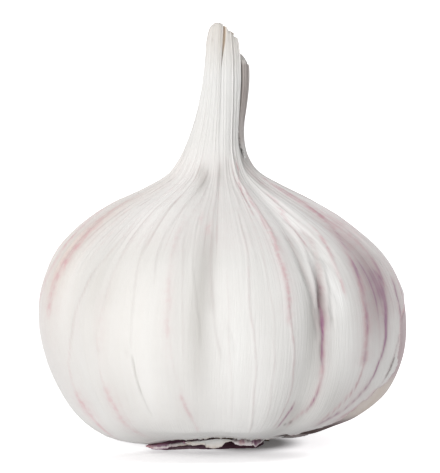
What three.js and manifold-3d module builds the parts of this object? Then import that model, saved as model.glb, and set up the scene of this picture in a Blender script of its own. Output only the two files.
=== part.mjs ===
// A bulb of garlic, standing on its root plate. Millimetres, +Z up, the front towards -Y.
//
// The head and its dried neck grew as one body, so they are one solid: two side outlines are
// blended round the bulb, then cloves, ribs, the groove in the neck and its torn rim are added
// by formula. Low on the right and the back its white wrapper is torn away, and a deeper skin
// lies bare in the recess. That skin, the root plate with its cut roots, the dried sheath in
// the neck and each loose scrap of skin are solids of their own.
// Bearings are degrees round the upright axis: 0 is the front (-Y) and +90 is the right (+X).

import * as THREE from 'three';
import { mergeVertices } from 'three/addons/utils/BufferGeometryUtils.js';
import Module from 'manifold-3d';

const wasm = await Module();
wasm.setup();

// ---- Driving dimensions ---------------------------------------------------------------

// The two side outlines, [distance from the axis, height], from the hollow over the root
// plate, out round the belly, up the neck and over its rim into the dish at the top.
// Station n of one outline lies level with station n of the other.
const LEFT_OUTLINE = [
  [0.0, 2.5], [3.5, 2.4], [6.6, 2.1], [9.2, 1.15], [12.0, 0.6], [15.2, 0.45], [18.4, 0.95],
  [21.2, 2.3], [24.2, 5.0], [26.9, 9.3], [28.9, 14.8], [29.8, 20.2], [29.2, 25.6], [27.0, 30.8],
  [23.3, 35.0], [17.9, 38.9], [12.7, 41.3], [9.0, 43.3], [7.2, 45.4], [6.0, 47.8], [4.9, 50.6],
  [3.85, 54.2], [3.1, 58.2], [2.75, 61.0], [2.55, 63.5], [2.35, 66.0], [1.75, 68.0],
  [1.1, 67.4], [0.7, 65.0], [-0.6, 63.0],
];
const RIGHT_OUTLINE = [
  [0.0, 2.5], [3.5, 2.4], [6.6, 2.1], [8.7, 1.4], [10.6, 1.0], [13.0, 1.1], [15.9, 1.9],
  [19.0, 3.2], [22.8, 5.0], [27.2, 8.8], [29.8, 14.3], [30.3, 20.0], [29.3, 26.2], [26.4, 31.3],
  [21.9, 35.3], [15.8, 38.8], [10.4, 41.4], [6.6, 43.5], [4.8, 45.6], [3.9, 48.2], [3.75, 51.2],
  [4.05, 54.6], [4.3, 58.2], [4.3, 61.0], [4.2, 63.5], [3.9, 66.0], [3.5, 68.0],
  [2.7, 67.4], [2.0, 65.0], [0.6, 63.0],
];
const LAST_STATION = LEFT_OUTLINE.length - 1;
const RIM_STATION = 26;
const BELLY_STATIONS = { first: 8, last: 18 };
const DEPTH_FRONT = 0.97; // depth of the front half against the mean of left and right
const DEPTH_BACK = 0.95;

// The torn rim of the neck: [bearing, height], on top of the outlines' own level rim.
const NECK_LEVEL = 61.0;
const RIM_LEVEL = 68.0;
const TORN_RIM = [
  [-150, 65.8], [-90, 67.7], [-40, 68.2], [5, 68.1], [30, 67.0],
  [55, 64.8], [75, 63.2], [95, 62.6], [130, 63.0], [170, 64.3],
];

// The front of the underside rises clear of the surface, which leaves room for torn skins.
const FRONT_ARCH = { bearing: -3, width: 24, rise: 1.1, inner: 3, outer: 9, low: 1.5, high: 4.5 };

// Valleys between the cloves, seen through the skin. Each one drifts round as it climbs.
const VALLEYS = [
  { bearing: -56, depth: 0.9, width: 10, drift: 0 },
  { bearing: -6, depth: 0.75, width: 11, drift: -3 },
  { bearing: 30, depth: 1.35, width: 7, drift: 6 },
  { bearing: 58, depth: 0.8, width: 9, drift: 2 },
  { bearing: 97, depth: 1.0, width: 11, drift: 0 },
  { bearing: 135, depth: 1.6, width: 11, drift: 3 },
  { bearing: 172, depth: 1.3, width: 12, drift: -2 },
  { bearing: -148, depth: 1.6, width: 11, drift: 2 },
  { bearing: -108, depth: 1.2, width: 10, drift: -2 },
];
const VALLEY_SPAN = { start: 1.5, full: 8, middle: 22, fade: 37, end: 47 };

const COLUMNS = 140; // every second one carries a rib
const RIB = { least: 0.06, most: 0.46, neck: 0.11, strongIsRare: 1.6, spread: 0.35 };
const NECK_RIBS = { start: 43, full: 50 };
const NECK_GROOVE = { front: 50, back: 108, slope: 8, depth: 1.0, start: 43, full: 47.5 };
const NECK_SPLIT = { bearing: 3, width: 6, depth: 0.45, start: 60, full: 65 };
const RIM_RAGGED = 0.25;

const SKIN = 0.6; // thickness of a torn skin
const GAP = 0.32; // space left between neighbours

// The bare deeper skin, sunk below the torn edge of the wrapper. Its edges: bearings at its
// foot and top, stations at its front and back.
const BARE_SKIN = {
  front: { foot: 36, top: 69 }, back: { foot: 156, top: 146 }, sideTear: 2.0,
  low: { front: 6.1, back: 6.4 }, footTear: 0.12,
  high: { front: 10.0, back: 13.4 }, topTear: 0.25,
  rows: 16, columns: 30, sunk: 0.2, vein: 0.15,
};
// The recess is this much wider than the skin in it, in degrees and stations.
const RECESS_MARGIN = { bearing: 0.8, station: 0.08 };
const CUTTER_REACH = 1.5;
const NECK_SHEATH = {
  front: 57, back: 102, narrow: 10, low: 19.1, high: 24.3, peak: 0.3, slope: 1.1,
  rows: 10, columns: 8,
};

// Scraps of torn skin by the roots, each a strip along a path of points.
const SCRAPS = {
  base_skin_left: {
    path: [
      [1.8, -8.3, 1.45], [-2.2, -9.4, 1.15], [-6.0, -10.4, 0.7], [-9.2, -11.9, 0.42],
      [-12.0, -13.4, 0.32],
    ],
    width: 2.9, rows: 4, seed: 3,
  },
  base_skin_right: {
    path: [[3.2, -8.7, 0.95], [4.9, -9.5, 0.62], [6.9, -9.5, 0.42], [8.6, -8.7, 0.38]],
    width: 2.4, rows: 3, seed: 8,
  },
  base_skin_back: {
    path: [[-3.6, 9.4, 0.42], [-0.6, 10.0, 0.4], [2.4, 9.9, 0.38], [5.0, 8.8, 0.4]],
    width: 2.1, rows: 3, seed: 14,
  },
};
const SCRAP_ENDS = { atRoot: 1.1, atTip: 0.6, blunt: 0.06, ragged: 0.35, curl: 0.04 };

const PLATE = { radius: 5.6, foot: 5.3, shoulder: 4.0, waist: 0.5, brow: 1.35, height: 1.7, sides: 22 };
const ROOTS = {
  count: 50, radius: 0.5, sides: 5, shortest: 1.9, longest: 4.6, reach: 8.3,
  start: [3.6, 4.9], level: [0.42, 0.75], fall: [2, 9], swing: 18, taper: 0.7,
};

// ---- Small helpers --------------------------------------------------------------------

const radians = THREE.MathUtils.degToRad;
const lerp = THREE.MathUtils.lerp;
const smoothstep = THREE.MathUtils.smoothstep;

// Seeded draws, so that every build gives the same bulb.
function seededRandom(seed) {
  let state = seed;
  return () => {
    state = (state * 1664525 + 1013904223) % 4294967296;
    return state / 4294967296;
  };
}

// The shortest turn from one bearing to another, in degrees.
function turn(from, to) {
  return THREE.MathUtils.euclideanModulo(to - from + 180, 360) - 180;
}

function bump(distance, width) {
  return Math.exp(-((distance / width) ** 2));
}

// A torn edge: slow waves with finer ones on them, from -1 to 1 along a length of 0 to 1.
function tornEdge(seed) {
  const random = seededRandom(seed);
  const waves = [2, 5, 11, 23].map((count) => (
    { count, phase: random() * 2 * Math.PI, share: count ** -0.6 }));
  const total = waves.reduce((sum, { share }) => sum + share, 0);
  return (along) => waves.reduce((sum, { count, phase, share }) => (
    sum + share * Math.sin(count * Math.PI * along + phase)), 0) / total;
}

// ---- The surface of the bulb ----------------------------------------------------------

const asCurve = (outline) => new THREE.SplineCurve(outline.map(([x, z]) => new THREE.Vector2(x, z)));
const leftCurve = asCurve(LEFT_OUTLINE);
const rightCurve = asCurve(RIGHT_OUTLINE);

function tornRim(bearing) {
  const first = TORN_RIM[0][0];
  const turned = THREE.MathUtils.euclideanModulo(bearing - first, 360) + first;
  const next = TORN_RIM.findIndex(([edge]) => edge > turned);
  const from = TORN_RIM.at(next === -1 ? -1 : next - 1);
  const to = next === -1 ? [first + 360, TORN_RIM[0][1]] : TORN_RIM[next];
  return lerp(from[1], to[1], smoothstep(turned, from[0], to[0]));
}

// A point on the smooth bulb, without relief. The station may lie between two of the list.
function smoothPoint(bearing, station) {
  const left = leftCurve.getPoint(station / LAST_STATION);
  const right = rightCurve.getPoint(station / LAST_STATION);
  const sine = Math.sin(radians(bearing));
  const cosine = Math.cos(radians(bearing));
  const side = sine > 0 ? right : left;
  const depth = (left.x + right.x) / 2 * (cosine > 0 ? DEPTH_FRONT : DEPTH_BACK);
  let height = side.y * sine ** 2 + (left.y + right.y) / 2 * cosine ** 2;
  if (height > NECK_LEVEL) {
    const share = (height - NECK_LEVEL) / (RIM_LEVEL - NECK_LEVEL);
    height = NECK_LEVEL + (tornRim(bearing) - NECK_LEVEL) * share;
  }
  const arch = FRONT_ARCH.rise * bump(turn(FRONT_ARCH.bearing, bearing), FRONT_ARCH.width);
  height += arch * (1 - smoothstep(height, FRONT_ARCH.low, FRONT_ARCH.high))
    * smoothstep(Math.abs(side.x), FRONT_ARCH.inner, FRONT_ARCH.outer);
  return new THREE.Vector3(side.x * sine, -depth * cosine, height);
}

function outwardNormal(bearing, station) {
  const stepBearing = 0.5;
  const stepStation = 0.02;
  const low = Math.max(station - stepStation, 0.01);
  const high = Math.min(station + stepStation, LAST_STATION - 0.01);
  const along = smoothPoint(bearing, high).sub(smoothPoint(bearing, low));
  const round = smoothPoint(bearing + stepBearing, station);
  round.sub(smoothPoint(bearing - stepBearing, station));
  return round.cross(along).normalize();
}

function valleyDepth(bearing, height) {
  const { start, full, middle, fade, end } = VALLEY_SPAN;
  const strength = smoothstep(height, start, full) * (1 - smoothstep(height, fade, end));
  const climb = (height - middle) / middle;
  let depth = 0;
  for (const valley of VALLEYS) {
    const centre = valley.bearing + valley.drift * climb;
    depth += valley.depth * bump(turn(centre, bearing), valley.width);
  }
  return depth * strength;
}

// A point off the bulb's surface, which follows the valleys and leaves out the ribs.
function pointOver(bearing, station, offset) {
  const point = smoothPoint(bearing, station);
  return point.addScaledVector(outwardNormal(bearing, station), offset - valleyDepth(bearing, point.z));
}

// The groove is flat-bottomed, with the dried sheath in it.
function grooveDepth(bearing) {
  const { front, back, slope, depth } = NECK_GROOVE;
  return depth * smoothstep(bearing, front - slope, front) * (1 - smoothstep(bearing, back, back + slope));
}

function neckDepth(bearing, height) {
  const groove = grooveDepth(bearing) * smoothstep(height, NECK_GROOVE.start, NECK_GROOVE.full);
  const split = NECK_SPLIT.depth * bump(turn(NECK_SPLIT.bearing, bearing), NECK_SPLIT.width)
    * smoothstep(height, NECK_SPLIT.start, NECK_SPLIT.full);
  return groove + split;
}

// One height per rib, as it grew: strong veins and faint ones, in no order.
const ribRandom = seededRandom(11);
const ribHeights = Array.from({ length: COLUMNS }, (_, column) => {
  const strength = ribRandom() ** RIB.strongIsRare;
  return column % 2 === 0 ? lerp(RIB.least, RIB.most, strength) : 0;
});
const ribShifts = Array.from({ length: COLUMNS }, () => lerp(-RIB.spread, RIB.spread, ribRandom()));
const rimShifts = Array.from({ length: COLUMNS }, () => lerp(-RIM_RAGGED, RIM_RAGGED, ribRandom()));

function reliefPoint(column, station) {
  const bearing = (column + ribShifts[column]) * 360 / COLUMNS - 180;
  const point = smoothPoint(bearing, station);
  const onNeck = smoothstep(point.z, NECK_RIBS.start, NECK_RIBS.full);
  const inDish = smoothstep(station, RIM_STATION, RIM_STATION + 1);
  const ribShare = lerp(1, RIB.neck / RIB.most, onNeck)
    * smoothstep(point.z, VALLEY_SPAN.start, VALLEY_SPAN.full);
  const offset = ribHeights[column] * ribShare
    - valleyDepth(bearing, point.z) - neckDepth(bearing, point.z);
  point.addScaledVector(outwardNormal(bearing, station), offset * (1 - inDish));
  point.z += rimShifts[column] * smoothstep(station, RIM_STATION - 1.5, RIM_STATION) * (1 - inDish);
  return point;
}

// ---- Building solids ------------------------------------------------------------------

function geometryFrom(points, triangles) {
  const geometry = new THREE.BufferGeometry().setFromPoints(points);
  geometry.setIndex(triangles.flat());
  geometry.computeVertexNormals();
  return geometry;
}

// A closed skin of rings between a lowest and a highest point.
function ringedSolid(bottom, rings, top) {
  const columns = rings[0].length;
  const points = [bottom, ...rings.flat(), top];
  const at = (ring, column) => 1 + ring * columns + column % columns;
  const triangles = [];
  for (let column = 0; column < columns; column += 1) {
    triangles.push([0, at(0, column + 1), at(0, column)]);
    triangles.push([points.length - 1, at(rings.length - 1, column), at(rings.length - 1, column + 1)]);
    for (let ring = 0; ring < rings.length - 1; ring += 1) {
      const [a, b] = [at(ring, column), at(ring, column + 1)];
      const [c, d] = [at(ring + 1, column + 1), at(ring + 1, column)];
      triangles.push([a, b, c], [a, c, d]);
    }
  }
  return geometryFrom(points, triangles);
}

// A closed sheet. faces(u, v) gives its [outer, inner] points, u across and v up, both 0 to 1.
// Seen from outside, u runs from left to right.
function sheetSolid(rows, columns, faces) {
  const outer = [];
  const inner = [];
  for (let row = 0; row <= rows; row += 1) {
    for (let column = 0; column <= columns; column += 1) {
      const [outside, inside] = faces(column / columns, row / rows);
      outer.push(outside);
      inner.push(inside);
    }
  }
  const at = (row, column) => row * (columns + 1) + column;
  const shift = outer.length;
  const triangles = [];
  for (let row = 0; row < rows; row += 1) {
    for (let column = 0; column < columns; column += 1) {
      const [a, b] = [at(row, column), at(row, column + 1)];
      const [c, d] = [at(row + 1, column + 1), at(row + 1, column)];
      triangles.push([a, b, c], [a, c, d]);
      triangles.push([a + shift, c + shift, b + shift], [a + shift, d + shift, c + shift]);
    }
  }
  const border = [];
  for (let column = 0; column < columns; column += 1) border.push(at(0, column));
  for (let row = 0; row < rows; row += 1) border.push(at(row, columns));
  for (let column = columns; column > 0; column -= 1) border.push(at(rows, column));
  for (let row = rows; row > 0; row -= 1) border.push(at(row, 0));
  border.forEach((from, index) => {
    const to = border[(index + 1) % border.length];
    triangles.push([from, from + shift, to + shift], [from, to + shift, to]);
  });
  return geometryFrom([...outer, ...inner], triangles);
}

function toManifold(geometry) {
  const bare = geometry.clone();
  bare.deleteAttribute('normal');
  bare.deleteAttribute('uv');
  const merged = mergeVertices(bare);
  return new wasm.Manifold(new wasm.Mesh({
    numProp: 3,
    vertProperties: new Float32Array(merged.attributes.position.array),
    triVerts: new Uint32Array(merged.index.array),
  }));
}

function fromManifold(solid) {
  const mesh = solid.getMesh();
  const geometry = new THREE.BufferGeometry();
  geometry.setAttribute('position', new THREE.Float32BufferAttribute(mesh.vertProperties, 3));
  geometry.setIndex([...mesh.triVerts]);
  geometry.computeVertexNormals();
  return geometry;
}

// ---- The pieces -----------------------------------------------------------------------

// Rings lie on every station, and half-way too where the belly and shoulder curve most.
function wholeBulb() {
  const { first, last } = BELLY_STATIONS;
  const rings = [];
  const ringAt = (station) => Array.from({ length: COLUMNS }, (_, column) => reliefPoint(column, station));
  for (let station = 1; station < LAST_STATION; station += 1) {
    rings.push(ringAt(station));
    if (station >= first && station < last) rings.push(ringAt(station + 0.5));
  }
  return ringedSolid(smoothPoint(0, 0), rings, smoothPoint(90, LAST_STATION));
}

// A sheet in the place of the bare skin, between two offsets from the bulb's surface.
function bareSkinSheet(margin, outerOffset, innerOffset) {
  const { front, back, sideTear, low, footTear, high, topTear, rows, columns } = BARE_SKIN;
  const [frontTear, backTear, footWave, topWave] = [5, 6, 7, 8].map(tornEdge);
  return sheetSolid(rows, columns, (u, v) => {
    const from = lerp(front.foot, front.top, v) + sideTear * frontTear(v) - margin.bearing;
    const to = lerp(back.foot, back.top, v) + sideTear * backTear(v) + margin.bearing;
    const foot = lerp(low.front, low.back, u) + footTear * footWave(u) - margin.station;
    const top = lerp(high.front, high.back, u) + topTear * topWave(u) + margin.station;
    const bearing = lerp(from, to, u);
    const station = lerp(foot, top, v);
    return [
      pointOver(bearing, station, outerOffset(u)),
      pointOver(bearing, station, innerOffset),
    ];
  });
}

function bareSkinGeometry() {
  const { columns, sunk, vein } = BARE_SKIN;
  const random = seededRandom(9);
  const veins = Array.from({ length: columns + 1 }, () => random() * vein);
  const outerOffset = (u) => veins[Math.round(u * columns)] - sunk;
  return bareSkinSheet({ bearing: 0, station: 0 }, outerOffset, -sunk - SKIN);
}

function bulbGeometry() {
  const floor = -BARE_SKIN.sunk - SKIN - GAP;
  const cutter = bareSkinSheet(RECESS_MARGIN, () => CUTTER_REACH, floor);
  return fromManifold(toManifold(wholeBulb()).subtract(toManifold(cutter)));
}

// A dried inner sheath lies in the groove of the neck: narrow at its foot, torn at its tip.
function neckSheathGeometry() {
  const { front, back, narrow, low, high, peak, slope, rows, columns } = NECK_SHEATH;
  return sheetSolid(rows, columns, (u, v) => {
    const pinch = narrow * (1 - smoothstep(v, 0, 0.3));
    const bearing = lerp(front + pinch, back - pinch, u);
    const tip = high - slope * Math.abs(u - peak) * v;
    const station = lerp(low, tip, v);
    const normal = outwardNormal(bearing, station);
    const lift = GAP + RIB.neck - grooveDepth(bearing);
    const inner = smoothPoint(bearing, station).addScaledVector(normal, lift);
    return [inner.clone().addScaledVector(normal, SKIN), inner];
  });
}

// A scrap of torn skin by the roots: a strip along a curve, which narrows to a ragged tip.
function scrapGeometry({ path, width, rows, seed }) {
  const { atRoot, atTip, blunt, ragged, curl } = SCRAP_ENDS;
  const curve = new THREE.CatmullRomCurve3(path.map(([x, y, z]) => new THREE.Vector3(x, y, z)));
  const tear = tornEdge(seed);
  const steps = rows * 6;
  const up = new THREE.Vector3(0, 0, 1);
  return sheetSolid(rows, steps, (u, v) => {
    const centre = curve.getPoint(u);
    const across = curve.getTangent(u).cross(up).normalize();
    const ends = Math.sqrt(Math.sin(Math.PI * lerp(blunt, 1 - blunt, u)));
    const half = width / 2 * ends * lerp(atRoot, atTip, u) * (1 + ragged * tear(u));
    const side = lerp(half, -half, v);
    const lift = curl * (2 * v - 1) ** 2;
    const middle = centre.addScaledVector(across, side).addScaledVector(up, lift);
    const thick = up.clone().multiplyScalar(SKIN / 2);
    return [middle.clone().add(thick), middle.sub(thick)];
  });
}

// A flat disc of old stem with a mat of cut, dried roots fused into its rim.
function rootPlateGeometry() {
  const { radius, foot, shoulder, waist, brow, height, sides } = PLATE;
  const profile = [[0, 0], [foot, 0], [radius, waist], [radius, brow], [shoulder, height], [0, height]];
  const disc = new THREE.LatheGeometry(profile.map(([x, y]) => new THREE.Vector2(x, y)), sides);
  disc.rotateX(Math.PI / 2);
  const random = seededRandom(23);
  const between = ([least, most]) => lerp(least, most, random());
  const roots = [];
  for (let index = 0; index < ROOTS.count; index += 1) {
    const length = between([ROOTS.shortest, ROOTS.longest]);
    const thickness = ROOTS.radius * between([0.75, 1]);
    const start = Math.min(between(ROOTS.start), ROOTS.reach - length);
    const root = new THREE.CylinderGeometry(thickness * ROOTS.taper, thickness, length, ROOTS.sides);
    root.translate(0, length / 2, 0);
    root.rotateX(radians(180 + between(ROOTS.fall)));
    root.rotateZ(radians(between([-ROOTS.swing, ROOTS.swing])));
    root.translate(0, -start, between(ROOTS.level));
    root.rotateZ(radians((index + random()) * 360 / ROOTS.count));
    roots.push(toManifold(root));
  }
  const solid = wasm.Manifold.union([toManifold(disc), ...roots]).trimByPlane([0, 0, 1], 0);
  return fromManifold(solid);
}

// ---- The assembly ---------------------------------------------------------------------

const PAPER = { color: '#e6e3de', roughness: 0.6 };
const PURPLE_PAPER = { color: '#cfc0c2', roughness: 0.65 };
const SHEATH = { color: '#a3968f', roughness: 0.75 };
const SCRAP = { color: '#c9a9a6', roughness: 0.7 };
const ROOT = { color: '#c8b48f', roughness: 0.85 };

const garlicBulb = new THREE.Group();

function addPiece(name, geometry, { color, roughness }) {
  const material = new THREE.MeshStandardMaterial({ color, roughness, metalness: 0 });
  const mesh = new THREE.Mesh(geometry, material);
  mesh.name = name;
  garlicBulb.add(mesh);
}

addPiece('bulb', bulbGeometry(), PAPER);
addPiece('root_plate', rootPlateGeometry(), ROOT);
addPiece('bare_skin', bareSkinGeometry(), PURPLE_PAPER);
addPiece('neck_sheath', neckSheathGeometry(), SHEATH);
for (const [name, scrap] of Object.entries(SCRAPS)) {
  addPiece(name, scrapGeometry(scrap), SCRAP);
}

export default garlicBulb;
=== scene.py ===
"""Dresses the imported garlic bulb, lights it and sets the camera.

Lengths are millimetres and become metres when a mesh is written. A bearing is in degrees
round the upright axis: 0 is the front (-Y), +90 is the right (+X). A station counts along
the bulb's two side outlines, from the hollow over the roots to the dish in the cut neck.
"""

import bpy
import numpy as np
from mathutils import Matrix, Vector


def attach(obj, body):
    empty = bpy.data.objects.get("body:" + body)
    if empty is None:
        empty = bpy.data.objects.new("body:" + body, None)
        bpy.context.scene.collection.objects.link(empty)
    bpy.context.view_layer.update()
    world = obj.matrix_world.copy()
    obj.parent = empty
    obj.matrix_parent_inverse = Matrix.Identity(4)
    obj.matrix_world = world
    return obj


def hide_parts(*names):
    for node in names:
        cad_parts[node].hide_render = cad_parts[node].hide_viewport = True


MM = 0.001
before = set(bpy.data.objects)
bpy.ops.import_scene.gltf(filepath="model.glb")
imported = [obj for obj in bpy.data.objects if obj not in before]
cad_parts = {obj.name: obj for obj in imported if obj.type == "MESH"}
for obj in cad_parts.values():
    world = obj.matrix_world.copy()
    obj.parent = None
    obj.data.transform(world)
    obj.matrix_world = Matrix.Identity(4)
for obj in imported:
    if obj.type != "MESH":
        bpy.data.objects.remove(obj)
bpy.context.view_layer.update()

# ---- Driving dimensions ------------------------------------------------------------------

# The two side outlines: how far from the upright axis, and how high, at each station.
LEFT_OUTLINE = np.array([
    (0.0, 2.5), (3.5, 2.4), (6.6, 2.1), (9.2, 1.15), (12.0, 0.6), (15.2, 0.45), (18.4, 0.95),
    (21.2, 2.3), (24.2, 5.0), (26.9, 9.3), (28.9, 14.8), (29.8, 20.2), (29.2, 25.6),
    (27.0, 30.8), (23.3, 35.0), (17.9, 38.9), (12.7, 41.3), (9.0, 43.3), (7.2, 45.4),
    (6.0, 47.8), (4.9, 50.6), (3.85, 54.2), (3.1, 58.2), (2.75, 61.0), (2.55, 63.5),
    (2.35, 66.0), (1.75, 68.0), (1.1, 67.4), (0.7, 65.0), (-0.6, 63.0),
])
RIGHT_OUTLINE = np.array([
    (0.0, 2.5), (3.5, 2.4), (6.6, 2.1), (8.7, 1.4), (10.6, 1.0), (13.0, 1.1), (15.9, 1.9),
    (19.0, 3.2), (22.8, 5.0), (27.2, 8.8), (29.8, 14.3), (30.3, 20.0), (29.3, 26.2),
    (26.4, 31.3), (21.9, 35.3), (15.8, 38.8), (10.4, 41.4), (6.6, 43.5), (4.8, 45.6),
    (3.9, 48.2), (3.75, 51.2), (4.05, 54.6), (4.3, 58.2), (4.3, 61.0), (4.2, 63.5),
    (3.9, 66.0), (3.5, 68.0), (2.7, 67.4), (2.0, 65.0), (0.6, 63.0),
])
LAST_STATION = len(LEFT_OUTLINE) - 1
RIM_STATION = 26
# How deep the bulb is in front and behind, as a share of its mean half width.
DEPTH_FRONT = 0.97
DEPTH_BACK = 0.95
NECK_LEVEL = 61.0
RIM_LEVEL = 68.0
# The torn rim of the cut neck: bearing, height.
TORN_RIM = np.array([
    (-150, 66.0), (-90, 67.5), (-40, 68.05), (6, 67.95), (20, 66.7), (30, 66.3), (41, 65.7),
    (54, 64.3), (64, 63.6), (76, 62.8), (95, 62.4), (130, 63.0), (170, 64.3),
])
# The underside arches up in front: not at all within the inner distance from the axis, and
# fully beyond the outer one.
ARCH = {"bearing": -3, "width": 24, "rise": 1.1, "inner": 3, "outer": 9, "low": 1.5, "high": 4.5}
# The papery skin stops a little above the solid underside in front: bearing, how far.
SHORT_SKIN = np.array([
    (-180, 0.0), (-80, 0.0), (-62, 0.1), (-50, 0.25), (-43, 0.55), (-35, 1.15), (-25, 1.25),
    (-12, 0.95), (4, 1.1), (22, 1.25), (35, 1.4), (46, 1.15), (58, 0.55), (74, 0.15),
    (90, 0.0), (180, 0.0),
])
SHORT_LOW, SHORT_HIGH = 1.0, 7.5

# Valleys between the cloves: bearing, depth, width, drift.
VALLEYS = [
    (-56, 0.9, 10, 0), (-6, 0.75, 11, -3), (30, 1.35, 7, 6), (58, 0.8, 9, 2), (97, 1.0, 11, 0),
    (135, 1.6, 11, 3), (172, 1.3, 12, -2), (-148, 1.6, 11, 2), (-108, 1.2, 10, -2),
]
# Heights at which the valleys begin, are full, stand at their bearing, fade and end.
VALLEY_START, VALLEY_FULL, VALLEY_MIDDLE, VALLEY_FADE, VALLEY_END = 1.5, 8, 22, 37, 47

# Ribs up the skin, the split and the cracks in it, and the groove that holds the dried sheath
# in the neck's right side.
RIB_COLUMNS = 140
RIB_LEAST, RIB_MOST, RIB_SPREAD = 0.06, 0.46, 0.35
SPLIT_DEPTH, CRACK_DEPTH = 0.62, 0.8
GROOVE_FRONT, GROOVE_BACK, GROOVE_DEPTH, GROOVE_SLOPE = 45, 109, 1.0, 4

# The tear in the white wrapper, low on the right and the back. Its front edge is a path of
# bearings over shares of its height.
TEAR_FRONT_SHARES = (-0.6, 0.0, 0.12, 0.2, 0.3, 0.42, 0.5, 0.6, 0.65, 0.7, 0.76, 0.88, 1.0, 1.3)
TEAR_FRONT = (39, 42, 46, 50.5, 55, 58, 60.5, 65, 68.5, 71, 72, 70, 71.5, 73.5)
TEAR_BACK = (156, 146)
TEAR_LOW = (6.1, 6.4)
TEAR_HIGH = (11.0, 13.4)
TEAR_SIDE, TEAR_FOOT, TEAR_TOP = 2.0, 0.12, 0.25
RECESS_DEPTH = 0.62
# The dark band beneath the tear, brown skin darkened further with painted shade where the underside
# turns under: its bearings and its stations.
UNDER_TEAR, UNDER_TEAR_STATIONS = (34, 150), (3.9, 6.2)


# ---- Small helpers -----------------------------------------------------------------------

def smoothstep(value, low, high):
    """An even rise from 0 at low to 1 at high."""
    share = np.clip((value - low) / (high - low), 0, 1)
    return share * share * (3 - 2 * share)


def lerp(start, end, share):
    """The value that lies this share of the way from start to end."""
    return start + (end - start) * share


def bump(distance, width):
    """A soft bump: 1 in its middle and falling off over its width."""
    return np.exp(-((distance / width) ** 2))


def turn(start, end):
    """The shortest turn from one bearing to another."""
    return (end - start + 180) % 360 - 180


def turn_length(start, end, radius):
    """Millimetres round the bulb from one bearing to another."""
    return turn(start, end) * np.pi / 180 * radius


def window(value, low, high, soft):
    """1 between low and high, fading to 0 over the soft length outside them."""
    return smoothstep(value, low - soft, low) * (1 - smoothstep(value, high, high + soft))


def draws(seed, count):
    """Seeded draws from 0 to 1, the same on every run."""
    state, values = seed, []
    for _ in range(count):
        state = (state * 1664525 + 1013904223) % 4294967296
        values.append(state / 4294967296)
    return np.array(values)


def torn_edge(seed):
    """A torn edge: slow waves with finer ones on them, from -1 to 1 along 0 to 1."""
    counts = np.array([2, 5, 11, 23])
    phases = draws(seed, 4) * 2 * np.pi
    shares = counts ** -0.6

    def edge(along):
        along = np.asarray(along)[..., None]
        waves = shares * np.sin(counts * np.pi * along + phases)
        return waves.sum(-1) / shares.sum()

    return edge


def waviness(seed, bearing, height, turns, rise):
    """Slow unevenness round and up the bulb, about -1 to 1."""
    picks = draws(seed, 18).reshape(6, 3)
    total = 0
    for first, second, third in picks:
        count = np.rint(1 + first * turns)
        slope = (second - 0.5) * rise
        total = total + np.sin(np.radians(bearing) * count + height * slope + third * 2 * np.pi)
    return total / 3.2


# ---- The bulb's surface ------------------------------------------------------------------

def along_outline(outline, station):
    """Points on a smooth curve through the outline, one for each station."""
    station = np.clip(station, 0, LAST_STATION)
    start = np.minimum(np.floor(station).astype(int), LAST_STATION)
    share = (station - start)[..., None]
    before = outline[np.maximum(start - 1, 0)]
    here = outline[start]
    after = outline[np.minimum(start + 1, LAST_STATION)]
    beyond = outline[np.minimum(start + 2, LAST_STATION)]
    leave, arrive = (after - before) / 2, (beyond - here) / 2
    cubic = (2 * here - 2 * after + leave + arrive) * share ** 3
    square = (-3 * here + 3 * after - 2 * leave - arrive) * share ** 2
    return cubic + square + leave * share + here


def torn_rim(bearing):
    """The height of the cut neck's torn rim."""
    bearings = np.append(TORN_RIM[:, 0], TORN_RIM[0, 0] + 360)
    heights = np.append(TORN_RIM[:, 1], TORN_RIM[0, 1])
    turned = (bearing - bearings[0]) % 360 + bearings[0]
    index = np.clip(np.searchsorted(bearings, turned, side="right") - 1, 0, len(TORN_RIM) - 1)
    share = smoothstep(turned, bearings[index], bearings[index + 1])
    return lerp(heights[index], heights[index + 1], share)


def softened(values, reach):
    """A running mean, with the ends held."""
    padded = np.pad(values, reach, mode="edge")
    return np.convolve(padded, np.ones(2 * reach + 1) / (2 * reach + 1), mode="valid")


HALF_DEGREES = np.linspace(-180, 180, 721)
SHORT_LIFTS = softened(np.interp(HALF_DEGREES, SHORT_SKIN[:, 0], SHORT_SKIN[:, 1]), 8)


def smooth_point(bearing, station):
    """A point on the bulb without relief."""
    bearing, station = np.broadcast_arrays(np.asarray(bearing, float), np.asarray(station, float))
    left = along_outline(LEFT_OUTLINE, station)
    right = along_outline(RIGHT_OUTLINE, station)
    sine, cosine = np.sin(np.radians(bearing)), np.cos(np.radians(bearing))
    side = np.where((sine > 0)[..., None], right, left)
    depth = (left[..., 0] + right[..., 0]) / 2 * np.where(cosine > 0, DEPTH_FRONT, DEPTH_BACK)
    height = side[..., 1] * sine ** 2 + (left[..., 1] + right[..., 1]) / 2 * cosine ** 2
    share = (height - NECK_LEVEL) / (RIM_LEVEL - NECK_LEVEL)
    raised = NECK_LEVEL + (torn_rim(bearing) - NECK_LEVEL) * share
    height = np.where(height > NECK_LEVEL, raised, height)
    arch = ARCH["rise"] * bump(turn(ARCH["bearing"], bearing), ARCH["width"])
    arch = arch * (1 - smoothstep(height, ARCH["low"], ARCH["high"]))
    short = np.interp(turn(0, bearing), HALF_DEGREES, SHORT_LIFTS)
    arch = arch + short * (1 - smoothstep(height, SHORT_LOW, SHORT_HIGH))
    height = height + arch * smoothstep(np.abs(side[..., 0]), ARCH["inner"], ARCH["outer"])
    return np.stack([side[..., 0] * sine, -depth * cosine, height], -1)


def smooth_place(bearing, station):
    """Points on the bulb without relief, their heights and distances from the axis."""
    smooth = smooth_point(bearing, station)
    return smooth, smooth[..., 2], np.linalg.norm(smooth[..., :2], axis=-1)


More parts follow.
